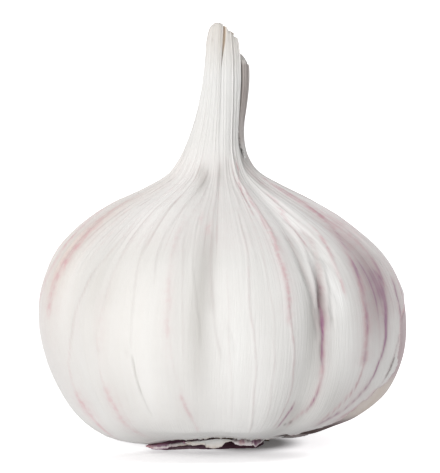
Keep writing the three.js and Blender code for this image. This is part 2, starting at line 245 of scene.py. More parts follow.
def outward(bearing, station):
    """The direction straight out of the smooth surface."""
    low = np.maximum(station - 0.02, 0.01)
    high = np.minimum(station + 0.02, LAST_STATION - 0.01)
    along = smooth_point(bearing, high) - smooth_point(bearing, low)
    around = smooth_point(bearing + 0.5, station) - smooth_point(bearing - 0.5, station)
    normal = np.cross(around, along)
    return normal / np.maximum(np.linalg.norm(normal, axis=-1, keepdims=True), 1e-9)


STATION_STEPS = np.linspace(0, LAST_STATION, 1500)
left_steps = along_outline(LEFT_OUTLINE, STATION_STEPS)
right_steps = along_outline(RIGHT_OUTLINE, STATION_STEPS)
step_lengths = np.linalg.norm(np.diff((left_steps + right_steps) / 2, axis=0), axis=1)
ARC_STEPS = np.concatenate([[0], np.cumsum(step_lengths)])


def arc_of(station):
    """Millimetres along the mean outline, from its first station."""
    return np.interp(station, STATION_STEPS, ARC_STEPS)


def station_of(arc):
    """The station at this many millimetres along the mean outline."""
    return np.interp(arc, ARC_STEPS, STATION_STEPS)


# ---- Relief ------------------------------------------------------------------------------

TABLE_BEARINGS = np.linspace(-180, 180, 7200, endpoint=False)


def rib_table():
    """The main ribs round the bulb: sharp crests of unequal height."""
    numbers = draws(11, 2 * RIB_COLUMNS)
    heights = lerp(RIB_LEAST, RIB_MOST, numbers[:RIB_COLUMNS] ** 1.6)
    shifts = lerp(-RIB_SPREAD, RIB_SPREAD, numbers[RIB_COLUMNS:])
    total = np.zeros_like(TABLE_BEARINGS)
    for column in range(0, RIB_COLUMNS, 2):
        centre = (column + shifts[column]) * 360 / RIB_COLUMNS - 180
        away = turn(centre, TABLE_BEARINGS)
        crest = 0.55 * bump(away, 0.75) + 0.45 * np.clip(1 - np.abs(away) / 2.6, 0, 1)
        total += heights[column] * crest
    return total


def fibre_table(seed, count, width):
    """Fine fibres round the bulb, about 0 to 1."""
    numbers = draws(seed, 2 * count).reshape(2, count)
    total = np.zeros_like(TABLE_BEARINGS)
    for number in range(count):
        centre = (number + numbers[0, number]) * 360 / count - 180
        total += numbers[1, number] ** 1.5 * bump(turn(centre, TABLE_BEARINGS), width)
    return total


RIBS = rib_table()
FIBRES = fibre_table(31, 260, 0.38)
THREADS = fibre_table(37, 90, 1.1)


def from_table(table, bearing):
    """Reads a table that goes once round the bulb."""
    return np.interp(bearing, TABLE_BEARINGS, table, period=360)


def wander(bearing, height):
    """The bearing that a rib starts from, because ribs wander as they climb."""
    sway = waviness(41, bearing, height, 4, 0.35)
    return bearing + sway * lerp(0.9, 2.2, smoothstep(height, 44, 52))


def valley_depth(bearing, height):
    """How deep the valleys between the cloves lie."""
    strength = smoothstep(height, VALLEY_START, VALLEY_FULL)
    strength = strength * (1 - smoothstep(height, VALLEY_FADE, VALLEY_END))
    climb = (height - VALLEY_MIDDLE) / VALLEY_MIDDLE
    depth = 0
    for centre, deep, width, drift in VALLEYS:
        depth = depth + deep * bump(turn(centre + drift * climb, bearing), width)
    return depth * strength


def groove_depth(bearing):
    """How deep the neck's groove is, with a slope on each side of it."""
    front = smoothstep(bearing, GROOVE_FRONT - GROOVE_SLOPE, GROOVE_FRONT)
    return GROOVE_DEPTH * front * (1 - smoothstep(bearing, GROOVE_BACK, GROOVE_BACK + GROOVE_SLOPE))


def neck_split(bearing, height):
    """The narrow gap beside the thick left sheath: 1 in its middle."""
    half = 6.0 * smoothstep(height, 60, 69) + 0.01
    centre = lerp(-5, 7, smoothstep(height, 59, 69))
    inside = np.clip(1 - np.abs(turn(centre, bearing)) / half, 0, 1)
    return smoothstep(inside, 0, 0.55) * smoothstep(height, 60, 62)


# Lines on the skin, from low to high: places (bearing, height), half width in mm, how far the
# skin stands up along the line (or sinks), and how pink, purple and grey it is. The grey is
# painted shade along the creases and folds.
LINES = [
    ([(28, 6), (31, 8.3), (32.2, 11), (32.2, 15), (31.8, 17)], 0.34, 0.08, 0.48, 0.75, 0.1),
    ([(32.2, 17.6), (32.4, 20.5), (32.6, 23.5), (33.2, 26.5), (34.4, 28.6)],
     0.38, -0.2, 0.4, 0.66, 0.4),
    ([(31.8, 14), (32.2, 18.6)], 0.4, -0.12, 0.35, 0.35, 0.1),
    ([(32.1, 18.4), (32.4, 21.8)], 0.34, 0.0, 0.4, 0.95, 0.2),
    ([(17.2, 41.2), (19, 42.5), (24, 43.8), (29.2, 44.8)], 0.4, 0.05, 0.6, 0.35, 0.1),
    ([(19.8, 37), (20.5, 38.8), (20.2, 40), (21, 41.3), (23.5, 42.6)], 0.3, 0.05, 0.35, 0.35, 0.1),
    ([(65, 39), (66, 40.7), (67, 42), (71.5, 43.4), (84, 44.6)], 0.5, 0.05, 0.6, 0.5, 0.1),
    ([(32.4, 22), (32.9, 25), (33.6, 27.5)], 0.7, -0.3, 0.15, 0.5, 0.7),
    ([(39.2, 7), (41.8, 8.7), (44.2, 10.1), (47, 12), (48.2, 14), (48.5, 17.5)],
     0.4, 0.08, 0.6, 0.5, 0.05),
    ([(47.8, 16), (48.4, 19.6), (49.2, 23.5), (49.2, 26), (49.4, 28.5), (50.8, 31), (53, 33.4)],
     1.1, 0.1, 0.7, 0.6, 0.1),
    ([(70.5, 22), (69.2, 26), (69, 29.5), (71, 33), (74, 37)], 0.4, 0.2, 0.0, 0.0, 0.0),
    ([(66.4, 24), (65.4, 28), (66.8, 32), (69.6, 36)], 0.35, 0.18, 0.1, 0.25, 0.0),
    ([(73.6, 26), (73.4, 30), (75.4, 34), (78, 38)], 0.35, 0.18, 0.15, 0.1, 0.0),
    ([(40.8, 6.4), (44.2, 7.4), (48.5, 8.3), (51.2, 9.5), (54.5, 10.8), (57, 13), (59.2, 17)],
     0.5, 0.1, 0.3, 1.4, 0.1),
    ([(40.8, 6.2), (44.2, 7.2), (48.5, 8.2), (51.2, 9.4), (54.5, 10.8)], 1.2, 0.0, 0.3, 0.9, 0.0),
    ([(59, 16), (60.5, 18.9), (61.3, 22), (62.4, 25.5), (62.8, 28.5)], 0.55, 0.1, 0.3, 1.3, 0.1),
    ([(70.6, 18), (69.9, 21.4), (70.2, 24), (71.5, 27)], 0.6, 0.05, 0.3, 0.8, 0.1),
    ([(79, 14), (76, 22), (78, 29)], 0.9, 0.0, 0.4, 0.5, 0.0),
    ([(53, 6.2), (55, 6.8), (60, 7.7), (62.5, 9.1)], 1.4, 0.0, 0.5, 0.5, 0.0),
    ([(60, 8.6), (64, 11.5), (66, 15), (67.5, 18)], 0.24, 0.16, 0.15, 0.5, 0.2),
    ([(41, 27.6), (41.2, 30), (41.3, 31.4), (42.5, 32.8), (43.8, 34.6), (45.5, 35.8)],
     0.4, 0.06, 0.5, 0.1, 0.0),
    ([(20.6, 6), (22, 10), (22, 16.9), (21, 22.7), (20.4, 25)], 0.22, 0.1, 0.3, 0.05, 0.05),
    ([(20.2, 24), (20.4, 28), (20.8, 33.1), (21.6, 36.6), (21.5, 39), (24, 42)],
     0.55, 0.1, 0.45, 0.1, 0.05),
    ([(10.8, 5.9), (10, 9.2), (9.8, 14.2), (9, 22), (8.2, 26.7), (9.2, 33.5), (8.9, 38.8),
     (12, 41), (16, 43)],
     0.2, 0.14, 0.14, 0.0, 0.08),
    ([(36.2, 35.2), (36.8, 37), (38.5, 38.6), (41, 39.7), (43.2, 40.6)], 0.5, 0.1, 0.5, 0.1, 0.0),
    ([(54.6, 34), (60, 35.5), (62.5, 36.4), (64.8, 37.3), (66, 38), (68.2, 39.8), (69.8, 41.2)],
     0.8, 0.1, 0.8, 0.5, 0.1),
    ([(64, 27), (66, 33), (70, 38), (72, 42)], 0.4, 0.12, 0.3, 0.3, 0.1),
    ([(73.6, 22), (73.5, 30), (77, 35), (82, 39)], 0.5, 0.3, 0.1, 0.0, 0.0),
    ([(-1, 18.6), (-2.8, 23.7), (-3.8, 30.5), (-4, 34.8), (-4.2, 38.3), (-5, 42.4), (-7.2, 46)],
     0.28, 0.12, 0.04, 0.06, 0.16),
    ([(-3.7, 26), (-4.2, 36)], 0.7, -0.08, 0.0, 0.06, 0.28),
    ([(-16.5, 21.7), (-17.2, 26.5), (-17.8, 30.2), (-18.5, 35.4), (-18.6, 37.5)],
     0.5, 0.06, 0.14, 0.0, 0.0),
    ([(-17.8, 36), (-16, 39), (-14, 41), (-14, 43)], 0.3, 0.1, 0.05, 0.0, 0.05),
    ([(-7, 20.6), (-8, 26), (-10, 32), (-12, 38)], 0.22, 0.12, 0.0, 0.0, 0.05),
    ([(-12, 19), (-12.3, 24), (-13, 30), (-15.5, 35.5)], 0.2, 0.08, 0.05, 0.0, 0.1),
    ([(-9.5, 5.5), (-10.5, 6.9), (-11.8, 8.9), (-13, 11)], 0.42, -0.05, 0.34, 0.15, 0.0),
    ([(-12.8, 11), (-15, 15), (-16, 20)], 0.22, 0.05, 0.08, 0.0, 0.0),
    ([(23.6, 5.6), (24.2, 7.2), (25, 8.4)], 0.34, 0.05, 0.3, 1.0, 0.0),
    ([(-69.2, 23), (-68.8, 27.6), (-67.8, 30.8), (-67.9, 33)], 1.4, -0.1, 0.46, 0.06, 0.0),
    ([(-67.9, 31.5), (-68, 34.1), (-70.2, 37.1), (-71.2, 39.5)], 1.3, -0.1, 0.28, 0.08, 0.4),
    ([(-81.8, 24), (-79.5, 27.5), (-76.8, 30.5), (-78, 33.5), (-82, 37)], 1.2, 0.0, 0.42, 0.02, 0.0),
    ([(-56, 17.7), (-54, 20.8), (-52.2, 23.8), (-50, 27.1), (-48.5, 29.6), (-45.2, 31.8),
     (-42.2, 35), (-45, 42)],
     0.28, 0.2, 0.08, 0.02, 0.24),
    ([(-62.2, 8.6), (-61.5, 11.4), (-59.8, 14.2), (-56, 17.9)], 0.3, 0.08, 0.14, 0.0, 0.05),
    ([(-57.8, 3.1), (-59.5, 4.6), (-62, 6.1), (-62.2, 9)], 0.9, 0.0, 0.4, 0.02, 0.0),
    ([(-40.8, 18), (-41, 19.9), (-39.5, 24.3), (-38.5, 27), (-38, 30), (-37, 35),
     (-35, 40), (-35, 44)],
     0.24, 0.18, 0.06, 0.0, 0.12),
    ([(-37, 4.2), (-38.8, 6.5), (-39.8, 8.6), (-41, 11.3)], 0.85, 0.0, 0.34, 0.02, 0.0),
    ([(-41, 10.5), (-40.8, 14.9), (-40.8, 18)], 0.24, 0.1, 0.12, 0.0, 0.1),
    ([(-28.5, 20), (-28.2, 25.9), (-28.8, 30), (-30.8, 35), (-30, 40), (-26, 43.5)],
     0.2, 0.18, 0.04, 0.0, 0.14),
    ([(-33, 33), (-32, 38), (-34, 43.5)], 0.2, 0.14, 0.04, 0.0, 0.08),
    ([(-54, 32), (-54.5, 38), (-57, 41), (-65, 43.5)], 0.24, 0.16, 0.06, 0.0, 0.1),
    ([(-22.5, 30), (-24, 36), (-21, 41), (-18, 44)], 0.2, 0.14, 0.03, 0.0, 0.08),
    ([(-61, 30), (-60, 37), (-63, 42)], 0.24, 0.12, 0.05, 0.0, 0.06),
    ([(15.4, 8), (15.2, 20), (14.8, 32), (15, 42)], 0.18, 0.06, 0.08, 0.0, 0.05),
    ([(3, 8), (2, 20), (1.5, 30)], 0.2, 0.05, 0.05, 0.0, 0.03),
    ([(30.9, 26.4), (30.3, 28.2), (29.5, 30.4), (29.3, 33.6), (30, 35.4)], 0.6, -0.5, 0.05, 0.05, 0.5),
    ([(30.6, 21.2), (30.1, 24), (29.8, 26)], 0.4, -0.3, 0.0, 0.0, 0.5),
    ([(31.8, 26.5), (32.4, 29.4), (32.9, 31.8), (35.2, 34.6), (36.2, 37)], 0.5, 0.32, 0.05, 0.0, 0.0),
    ([(33.6, 26), (34, 27.7), (35.2, 30.3), (36.6, 32), (38.2, 33.7), (40, 35.6)],
     0.5, -0.6, 0.15, 0.1, 0.8),
    ([(40.8, 36.4), (43, 38.5), (44, 41)], 0.3, -0.14, 0.05, 0.05, 0.12),
    ([(34.8, 24), (35.4, 27), (36.6, 30), (38.3, 32.6), (40.3, 35)], 0.6, 0.32, 0.0, 0.0, 0.0),
    ([(40.8, 30.4), (39.6, 31.6), (37.8, 32.9)], 0.3, -0.26, 0.0, 0.0, 0.3),
    ([(38.4, 26), (37.4, 28), (36.2, 29.6)], 0.3, -0.14, 0.0, 0.0, 0.1),
    ([(35.8, 23.2), (33.8, 25.6)], 0.22, -0.2, 0.0, 0.0, 0.45),
    ([(30.6, 24.6), (29.6, 26.4), (28.4, 28), (27.4, 29.6)], 0.3, 0.28, 0.0, 0.0, 0.0),
    ([(17, 39.5), (17, 44.5)], 0.28, 0.1, 0.4, 0.06, 0.0),
    ([(4, 19.5), (2, 22.5)], 0.3, -0.14, 0.0, 0.0, 0.14),
    ([(12, 42), (11.5, 45.5)], 0.3, -0.1, 0.0, 0.0, 0.35),
    ([(22.5, 42.5), (25, 46)], 0.6, 0.16, 0.0, 0.0, 0.0),
]
# Cracks: a chain of (bearing, height), its share of the crack depth, half its width in mm.
CRACKS = [
    ([(-28.2, 17.4), (-27.8, 14.5), (-26.8, 11.2)], 0.28, 0.15),
    ([(-26.8, 11.2), (-25.0, 8.2)], 0.14, 0.14),
    ([(-31.5, 18.6), (-29.5, 17.9), (-28.2, 17.4)], 0.07, 0.18),
    ([(-95.0, 26.0), (-93.0, 20.0), (-93.5, 15.0)], 0.22, 0.16),
    ([(118.0, 40.0), (121.0, 36.0), (120.0, 33.0)], 0.22, 0.16),
    ([(-140.0, 18.0), (-142.0, 13.0), (-141.0, 9.0)], 0.22, 0.16),
    ([(-47.0, 65.7), (-36.0, 65.3)], 0.2, 0.12),
]


def nearness(bearing, height, radius, start, end, width):
    """1 on a line between two places on the skin, falling off over its width."""
    across = turn_length(start[0], bearing, radius)
    end_across = turn_length(start[0], end[0], radius)
    climb, end_climb = height - start[1], end[1] - start[1]
    length = end_across ** 2 + end_climb ** 2
    along = np.clip((across * end_across + climb * end_climb) / length, 0, 1)
    away = np.hypot(across - along * end_across, climb - along * end_climb)
    return bump(away, width)


# Further lines on the sides and the back: first and last bearing, and how many.
BACK_FIRST, BACK_LAST, BACK_COUNT = 84, 272, 30


def back_lines():
    """Lines on the sides and the back, of mixed strength."""
    span = BACK_LAST - BACK_FIRST
    numbers = draws(53, 6 * BACK_COUNT).reshape(-1, 6)
    lines = []
    for index, (shift, bend, low, high, width, strength) in enumerate(numbers):
        bearing = BACK_FIRST + span * (index + shift) / BACK_COUNT
        foot, top = lerp(3, 16, low), lerp(28, 44, high)
        middle = (foot + top) / 2
        path = [(bearing + 4 * bend - 2, foot), (bearing, middle), (bearing + 3 * bend, top)]
        pink, purple = lerp(0.1, 0.5, strength), 0.7 * strength ** 3
        lines.append((path, lerp(0.2, 0.45, width), 0.14 * bend, pink, purple, 0.08))
    return lines


LINE_REACH = 9


def near_line(path, bearing, height, radius, sway):
    """The points near a line, their millimetres to the right of it, and how much of it is there."""
    bearings, heights = np.array(path, float).T
    bearings = np.unwrap(bearings, period=360)
    middle, span = (bearings.min() + bearings.max()) / 2, np.ptp(bearings) / 2
    close = np.abs(turn(middle, bearing)) < span + LINE_REACH
    close &= (height > heights[0] - 2) & (height < heights[-1] + 2)
    level = height[close]
    own = 9 * bearings[0]
    centre = np.interp(level, heights, bearings) + 0.2 * sway[close]
    centre = centre + 0.3 * waviness(75, own, level, 2, 2.4)
    away = turn_length(centre, bearing[close], radius[close])
    uneven = np.clip(0.85 + 0.35 * waviness(73, own, level, 2, 2.0), 0.45, 1.15)
    return close, away, uneven * window(level, heights[0], heights[-1], 1.6)


def line_relief(bearing, height, radius):
    """Raised lines are lit on their left and fall away on their right; sunk ones are plain."""
    total = np.zeros_like(height)
    sway = waviness(59, bearing, height, 3, 1.1)
    for path, width, rise, *_ in LINES + back_lines():
        if rise:
            close, away, share = near_line(path, bearing, height, radius, sway)
            fall = 0.6 * bump(away - 0.55 * width, 0.6 * width) if rise > 0 else 0
            total[close] += rise * share * (bump(away + 0.4 * width, width) - fall)
    return total


def crack_mask(bearing, height, radius):
    """How deep the cracks cut, as shares of the crack depth."""
    total = 0
    for chain, depth, width in CRACKS:
        for start, end in zip(chain, chain[1:]):
            near = nearness(bearing, height, radius, start, end, width)
            total = np.maximum(total, near * depth)
    return total


def tear_edges(share_round, share_up):
    """Bearings and stations of the tear's four edges at those shares of its width and height."""
    up, around = np.clip(share_up, 0, 1), np.clip(share_round, 0, 1)
    front = np.interp(share_up, TEAR_FRONT_SHARES, TEAR_FRONT) + 0.4 * TEAR_SIDE * torn_edge(5)(up)
    back = lerp(*TEAR_BACK, up) + TEAR_SIDE * torn_edge(6)(up)
    low = lerp(*TEAR_LOW, around) + TEAR_FOOT * torn_edge(7)(around)
    high = lerp(*TEAR_HIGH, around) + TEAR_TOP * torn_edge(8)(around)
    return front, back, low, high


def tear_distance(bearing, station):
    """Millimetres inside the tear's front, top and back edges; below 0 outside them."""
    around = (bearing - 65) / 85
    up = (station - 6.2) / 5
    for _ in range(5):
        front, back, low, high = tear_edges(around, np.maximum(up, -0.6))
        up = (station - low) / (high - low)
        around = (bearing - front) / (back - front)
    _, _, radius = smooth_place(bearing, station)
    from_front = (bearing - front) * np.pi / 180 * radius
    from_back = (back - bearing) * np.pi / 180 * radius
    from_top = arc_of(high) - arc_of(station)
    return np.minimum(np.minimum(from_front, from_back), from_top)


def skin_relief(bearing, station, height, radius):
    """How far the white skin stands off the smooth bulb."""
    ribbed = wander(bearing, height)
    on_shoulder = window(height, 33, 47, 8)
    on_neck = smoothstep(height, 44, 50)
    at_foot = 1 - smoothstep(height, 1.5, 7)
    in_front = 1 - smoothstep(np.abs(bearing), 78, 115)
    rib_share = lerp(0.34, 0.08, in_front) + lerp(0.5, 0.42, in_front) * on_shoulder
    rib_share = lerp(rib_share, 0.26, on_neck) * (1 - 0.5 * at_foot)
    uneven = waviness(43, bearing, height, 9, 0.5)
    relief = from_table(RIBS, ribbed) * rib_share * (1 + 0.3 * uneven)
    fine = 0.015 + 0.02 * on_shoulder + 0.09 * on_neck
    relief += from_table(FIBRES, ribbed) * fine * (1 - at_foot)
    relief += from_table(THREADS, ribbed) * 0.16 * on_neck
    relief += 0.16 * waviness(47, bearing, height, 5, 0.4) * window(height, 8, 34, 6)
    relief += line_relief(bearing, height, radius)
    relief += 0.25 * bump(turn(-92, bearing), 30) * window(height, 14, 34, 6)
    relief -= valley_depth(bearing, height) + CRACK_DEPTH * crack_mask(bearing, height, radius)
    on_stem = smoothstep(height, 43, 47.5)
    relief -= groove_depth(bearing) * on_stem
    relief += 0.1 * bump(turn(GROOVE_FRONT - 5, bearing), 2.2) * on_stem
    relief -= 0.16 * bump(turn(27, bearing), 2.4) * window(height, 46, 65, 4)
    relief -= SPLIT_DEPTH * neck_split(bearing, height)
    in_dish = smoothstep(station, RIM_STATION, RIM_STATION + 1)
    return relief * (1 - in_dish)


def on_skin(bearing, station, offset=0.0):
    """Points on the white skin, plus a height above it."""
    smooth, height, radius = smooth_place(bearing, station)
    relief = skin_relief(bearing, station, height, radius)
    return smooth + outward(bearing, station) * (relief + offset)[..., None]


# ---- Colour masks ------------------------------------------------------------------------

# Painted highlights, where the skin is to look more brightly lit: bearing, height, half width in
# degrees, half height, strength.
PAINTED_HIGHLIGHTS = [
    (-26, 21, 7, 9, 0.4), (4, 17, 6, 13, 0.45), (41, 17, 3, 10, 0.25), (-40, 38, 16, 5, 0.6),
    (38, 39.5, 16, 3.5, 0.5), (-86, 24, 10, 16, 0.9),
    (38.5, 27, 2.5, 4, 0.6), (-60, 27, 3, 7, 0.3), (-24, 12, 5, 5, 0.4), (12, 12, 4, 9, 0.3),
    (0, 3.5, 60, 3.5, 0.6), (84, 36, 12, 5, 0.8), (33, 32, 2, 3, 0.5), (40, 37, 3, 3, 0.4),
    (-30, 59, 80, 14, 0.5), (-40, 41, 22, 5, 0.5), (-49, 14, 8, 6, 0.3),
]
# Soft stained areas: bearing, height, half width in degrees, half height, how pink, how purple.
STAINS = [
    (54.8, 27.4, 4.5, 6.8, 0.3, 0.6), (59.8, 28.2, 5.0, 7.0, 0.25, 0.48),
    (61, 25, 4.0, 5.0, 0.1, 0.25), (63, 31, 4.5, 5.0, 0.15, 0.3), (68, 27.5, 4.0, 5.0, 0.12, 0.3),
    (60, 34.6, 4, 1.8, 0.2, 0.2), (57, 43, 6, 1.6, 0.25, 0.15), (70, 36.5, 8, 3, 0.22, 0.2),
    (78, 27, 6, 9, 0.2, 0.25), (-6.5, 37.4, 1.3, 0.6, 0.45, 0.0), (-10.8, 38.6, 1.2, 0.6, 0.3, 0.0),
    (-39.8, 22, 2.4, 5, 0.1, 0.0), (-16.8, 24, 1.6, 7, 0.1, 0.0), (-52, 22, 2, 4, 0.06, 0.0),
    (-68, 33, 2.6, 4.5, 0.3, 0.0), (-60, 6, 5, 4, 0.2, 0.0), (-39, 7, 4, 4, 0.16, 0.03),
    (32, 24, 2.2, 5, 0.1, 0.2), (48, 9, 6, 4, 0.12, 0.06), (21, 33, 3, 6, 0.12, 0.0),
    (118, 34, 9, 8, 0.3, 0.25), (-120, 26, 7, 9, 0.25, 0.2), (168, 30, 10, 9, 0.25, 0.3),
    (-156, 30, 8, 8, 0.25, 0.15), (-100, 12, 6, 6, 0.2, 0.05), (-76, 24, 15, 16, 0.1, 0.0),
]
# Darkest places: dried skin showing through over the mauve patch, and dark brown down the deep fold,
# there partly painted shade in the fold: bearing, height, half widths, strength.
SCARS = [
    (32.9, 26, 0.9, 3.2, 0.42), (33.8, 28.6, 0.8, 2.4, 0.34), (32.0, 20.0, 0.7, 3.4, 0.2),
    (56, 28.5, 9, 8, 0.2), (63, 31, 5, 6, 0.1),
]
# Dark slits, painted shadow in the gaps under lifted skin edges: a chain of (bearing, height), half
# width in mm, strength.
SLIT_SHADOWS = [
    ([(64.6, 12.2), (65.8, 13.4), (66.4, 15.2)], 0.24, 0.95),
    ([(26.0, 5.2), (28.5, 5.8)], 0.14, 0.5),
]
# Painted shade in the valleys and folds between the cloves, with a few grey stains at the neck's foot
# and in the mauve patch: bearing, height, half width in degrees, half height, strength.
PAINTED_SHADE_AND_GREY_STAINS = [
    (-7.4, 25, 3.4, 11, 0.8), (28.6, 22.5, 2.4, 6.5, 0.75), (29, 13, 5.0, 8, 0.4),
    (33, 19, 3.0, 5, 0.4), (54.8, 27.6, 4.7, 7.2, 0.85), (60, 28, 5.0, 7.0, 0.45),
    (62.5, 32.5, 5, 4.6, 0.3), (-5.5, 33, 2.4, 6, 0.35), (27.5, 6.5, 3.5, 3, 0.6),
    (38.5, 9, 6, 5, 0.5), (0, 44, 36, 2.6, 0.14), (58, 43.4, 6, 1.3, 0.5), (50, 42.2, 4, 1.0, 0.35),
    (-19, 43.3, 4.5, 1.6, 0.85), (-27, 44.6, 4.5, 1.1, 0.6), (-3, 44.3, 4, 1.6, 0.5),
    (9, 45.4, 5, 1.3, 0.32), (48, 42.8, 6, 1.8, 0.3),
    (-42.5, 28, 5.5, 5, 0.22), (-14.4, 27, 2.4, 9, 0.22),
]
# Warm, straw coloured areas: bearing, height, half width in degrees, half height, strength.
BLUSHES = [
    (-70, 32, 7, 9, 0.32), (-86, 30, 12, 13, 0.26), (-56, 30, 26, 20, 0.07), (-34, 22, 42, 26, 0.1),
]


def add_areas(total, areas, bearing, height):
    """A mask with soft areas added: bearing, height, half widths and strength of each."""
    for centre, level, wide, tall, strength in areas:
        total = total + strength * bump(turn(centre, bearing), wide) * bump(height - level, tall)
    return total


def line_masks(bearing, height, radius):
    """How pink, purple and grey the lines make the skin; the grey is painted shade along them."""
    pink, purple, grey = np.zeros_like(height), np.zeros_like(height), np.zeros_like(height)
    sway = waviness(59, bearing, height, 3, 1.1)
    for path, width, _, how_pink, how_purple, how_grey in LINES + back_lines():
        close, away, share = near_line(path, bearing, height, radius, sway)
        taper = np.clip(radius[close] / 26, 0.25, 1)
        near = bump(away, 0.7 * width * taper) + 0.16 * bump(away, 2.4 * width * taper)
        pink[close] = np.maximum(pink[close], near * share * how_pink)
        purple[close] = np.maximum(purple[close], near * share * how_purple)
        grey[close] = np.maximum(grey[close], near * share * how_grey)
    return pink, purple, grey


def patch_masks(bearing, height):
    """How pink, purple and grey the soft areas make the skin; the grey is mostly painted shade."""
    pink, purple = np.zeros_like(bearing), np.zeros_like(bearing)
    for centre, level, wide, tall, how_pink, how_purple in STAINS:
        near = bump(turn(centre, bearing), wide) * bump(height - level, tall)
        pink += near * how_pink
        purple += near * how_purple
    return pink, purple, add_areas(0, PAINTED_SHADE_AND_GREY_STAINS, bearing, height)


def skin_masks(bearing, station, height, radius):
    """How far each ink covers the skin, 0 to 1."""
    line_pink, line_purple, line_grey = line_masks(bearing, height, radius)
    stain_pink, stain_purple, grey = patch_masks(bearing, height)
    streaks = from_table(FIBRES, wander(bearing, height))
    broken = np.clip(0.7 + 0.5 * streaks, 0, 1.3)
    pink = np.clip(line_pink + stain_pink * broken, 0, 1)
    purple = np.clip(line_purple + stain_purple * broken, 0, 1)
    # Grey: painted shade from the areas and the lines, and more painted shade in the cracks.
    grey = grey + line_grey + 2.4 * crack_mask(bearing, height, radius)
    # Pale: painted highlights.
    pale = add_areas(0, PAINTED_HIGHLIGHTS, bearing, height)
    # Painted shade down the neck's groove.
    grey = grey + 0.5 * groove_depth(bearing) * smoothstep(height, 42.5, 46)
    # Painted shade along the fine threads of the shoulder and the neck.
    shoulder = window(height, 36, 45, 4)
    threads = smoothstep(from_table(THREADS, 2 * wander(bearing, height)), 0.45, 0.9)
    grey = grey + 0.45 * threads * shoulder
    grey = grey + 0.5 * threads * smoothstep(height, 45, 52)
    pink = pink + (0.05 + 0.1 * threads) * shoulder
    tan = 0.75 * neck_split(bearing, height) + 0.25 * smoothstep(height, 58, 68)
    tan = tan + 0.6 * smoothstep(station, RIM_STATION + 0.4, RIM_STATION + 1.4)
    tan = tan + 0.9 * (1 - smoothstep(radius, 7.5, 11.5)) * (1 - smoothstep(height, 3, 6))
    tan = add_areas(tan, BLUSHES, bearing, height)
    margin = tear_distance(bearing, station)
    pink = pink + 0.35 * bump(margin + 0.2, 0.8)
    # The band under the tear: brown skin, darkened with painted shade most at the front, where the
    # underside turns under.
    under = window(bearing, *UNDER_TEAR, 4) * window(station, *UNDER_TEAR_STATIONS, 0.4)
    brown = lerp(0.98, 0.62, smoothstep(bearing, 44, 56)) * under
    pink = pink + 0.5 * under
    brown = add_areas(brown, SCARS, bearing, height)
    # Painted shadow in the slits.
    for chain, width, strength in SLIT_SHADOWS:
        for start, end in zip(chain, chain[1:]):
            near = nearness(bearing, height, radius, start, end, width)
            brown = np.maximum(brown, strength * near)
    masks = {"pale": pale, "pink": pink, "purple": purple, "grey": grey, "tan": tan, "brown": brown}
    return {name: np.clip(values, 0, 1) for name, values in masks.items()}


# ---- Making meshes -----------------------------------------------------------------------

def deselect_all():
    """So that the next operator works on its own piece only."""
    bpy.ops.object.select_all(action="DESELECT")


def read_points(piece):
    """The mesh's vertices, one row each."""
    flat = np.empty(len(piece.data.vertices) * 3)
    piece.data.vertices.foreach_get("co", flat)
    return flat.reshape(-1, 3)


def write_points(piece, points):
    """Writes millimetre points as metres."""
    piece.data.vertices.foreach_set("co", (points * MM).ravel())
    piece.data.update()


def write_mask(piece, name, values):
    """Stores one value at each vertex, for the materials to read."""
    layer = piece.data.attributes.new(name, "FLOAT", "POINT")
    values = np.broadcast_to(values, len(piece.data.vertices))
    layer.data.foreach_set("value", values.astype(np.float32))


GRAIN_RADIUS = 30.0
GRAIN_STRETCH = 0.06


def write_grain(piece, bearing, arc):
    """A direction field for fibres: round the bulb across, and slowly along."""
    angle = np.radians(bearing)
    grain = np.stack([
        GRAIN_RADIUS * np.sin(angle), -GRAIN_RADIUS * np.cos(angle), GRAIN_STRETCH * arc,
    ], -1)
    layer = piece.data.attributes.new("grain", "FLOAT_VECTOR", "POINT")
    layer.data.foreach_set("vector", grain.astype(np.float32).ravel())


def apply_modifier(piece, modifier):
    """Makes the modifier part of the mesh."""
    deselect_all()
    piece.select_set(True)
    bpy.context.view_layer.objects.active = piece
    bpy.ops.object.modifier_apply(modifier=modifier.name)


def thicken(piece, thickness, inner_material):
    """Gives a sheet its thickness, inwards from the face."""
    shell = piece.modifiers.new("thickness", "SOLIDIFY")
    shell.thickness = thickness * MM
    shell.offset = -1
    shell.material_offset = inner_material
    apply_modifier(piece, shell)


def shade_smooth(piece):
    """Lets the light run evenly over the faces."""
    piece.data.polygons.foreach_set("use_smooth", [True] * len(piece.data.polygons))


def settle(piece, slot, *nodes):
    """The piece belongs to the bulb and stands for these nodes of it."""
    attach(piece, "root")
    if nodes:
        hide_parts(*nodes)


def dress(piece, material, slot, *nodes, thickness=0.0, lining=None):
    """Gives a sheet its material and thickness, and settles it. A lining covers its back."""
    piece.data.materials.append(material)
    if lining:
        piece.data.materials.append(lining)
    if thickness:
        thicken(piece, thickness, 1 if lining else 0)
    shade_smooth(piece)
    settle(piece, slot, *nodes)


def subdivide(cuts):
    """Cuts all faces of the piece just added."""
    bpy.ops.object.mode_set(mode="EDIT")
    bpy.ops.mesh.select_all(action="SELECT")
    bpy.ops.mesh.subdivide(number_cuts=cuts)
    bpy.ops.object.mode_set(mode="OBJECT")


def grid_piece(name, columns, rows):
    """A flat grid to be shaped, with its shares across and up."""
    deselect_all()
    bpy.ops.mesh.primitive_grid_add(x_subdivisions=columns, y_subdivisions=rows, size=2)
    piece = bpy.context.object
    piece.name = name
    piece.data.name = name
    points = read_points(piece)
    return piece, (points[:, 0] + 1) / 2, (points[:, 1] + 1) / 2


# The pale, grey and brown masks carry painted highlights, shade and shadow besides the skin's colour.
MASKS = ("pale", "pink", "purple", "grey", "tan", "brown")


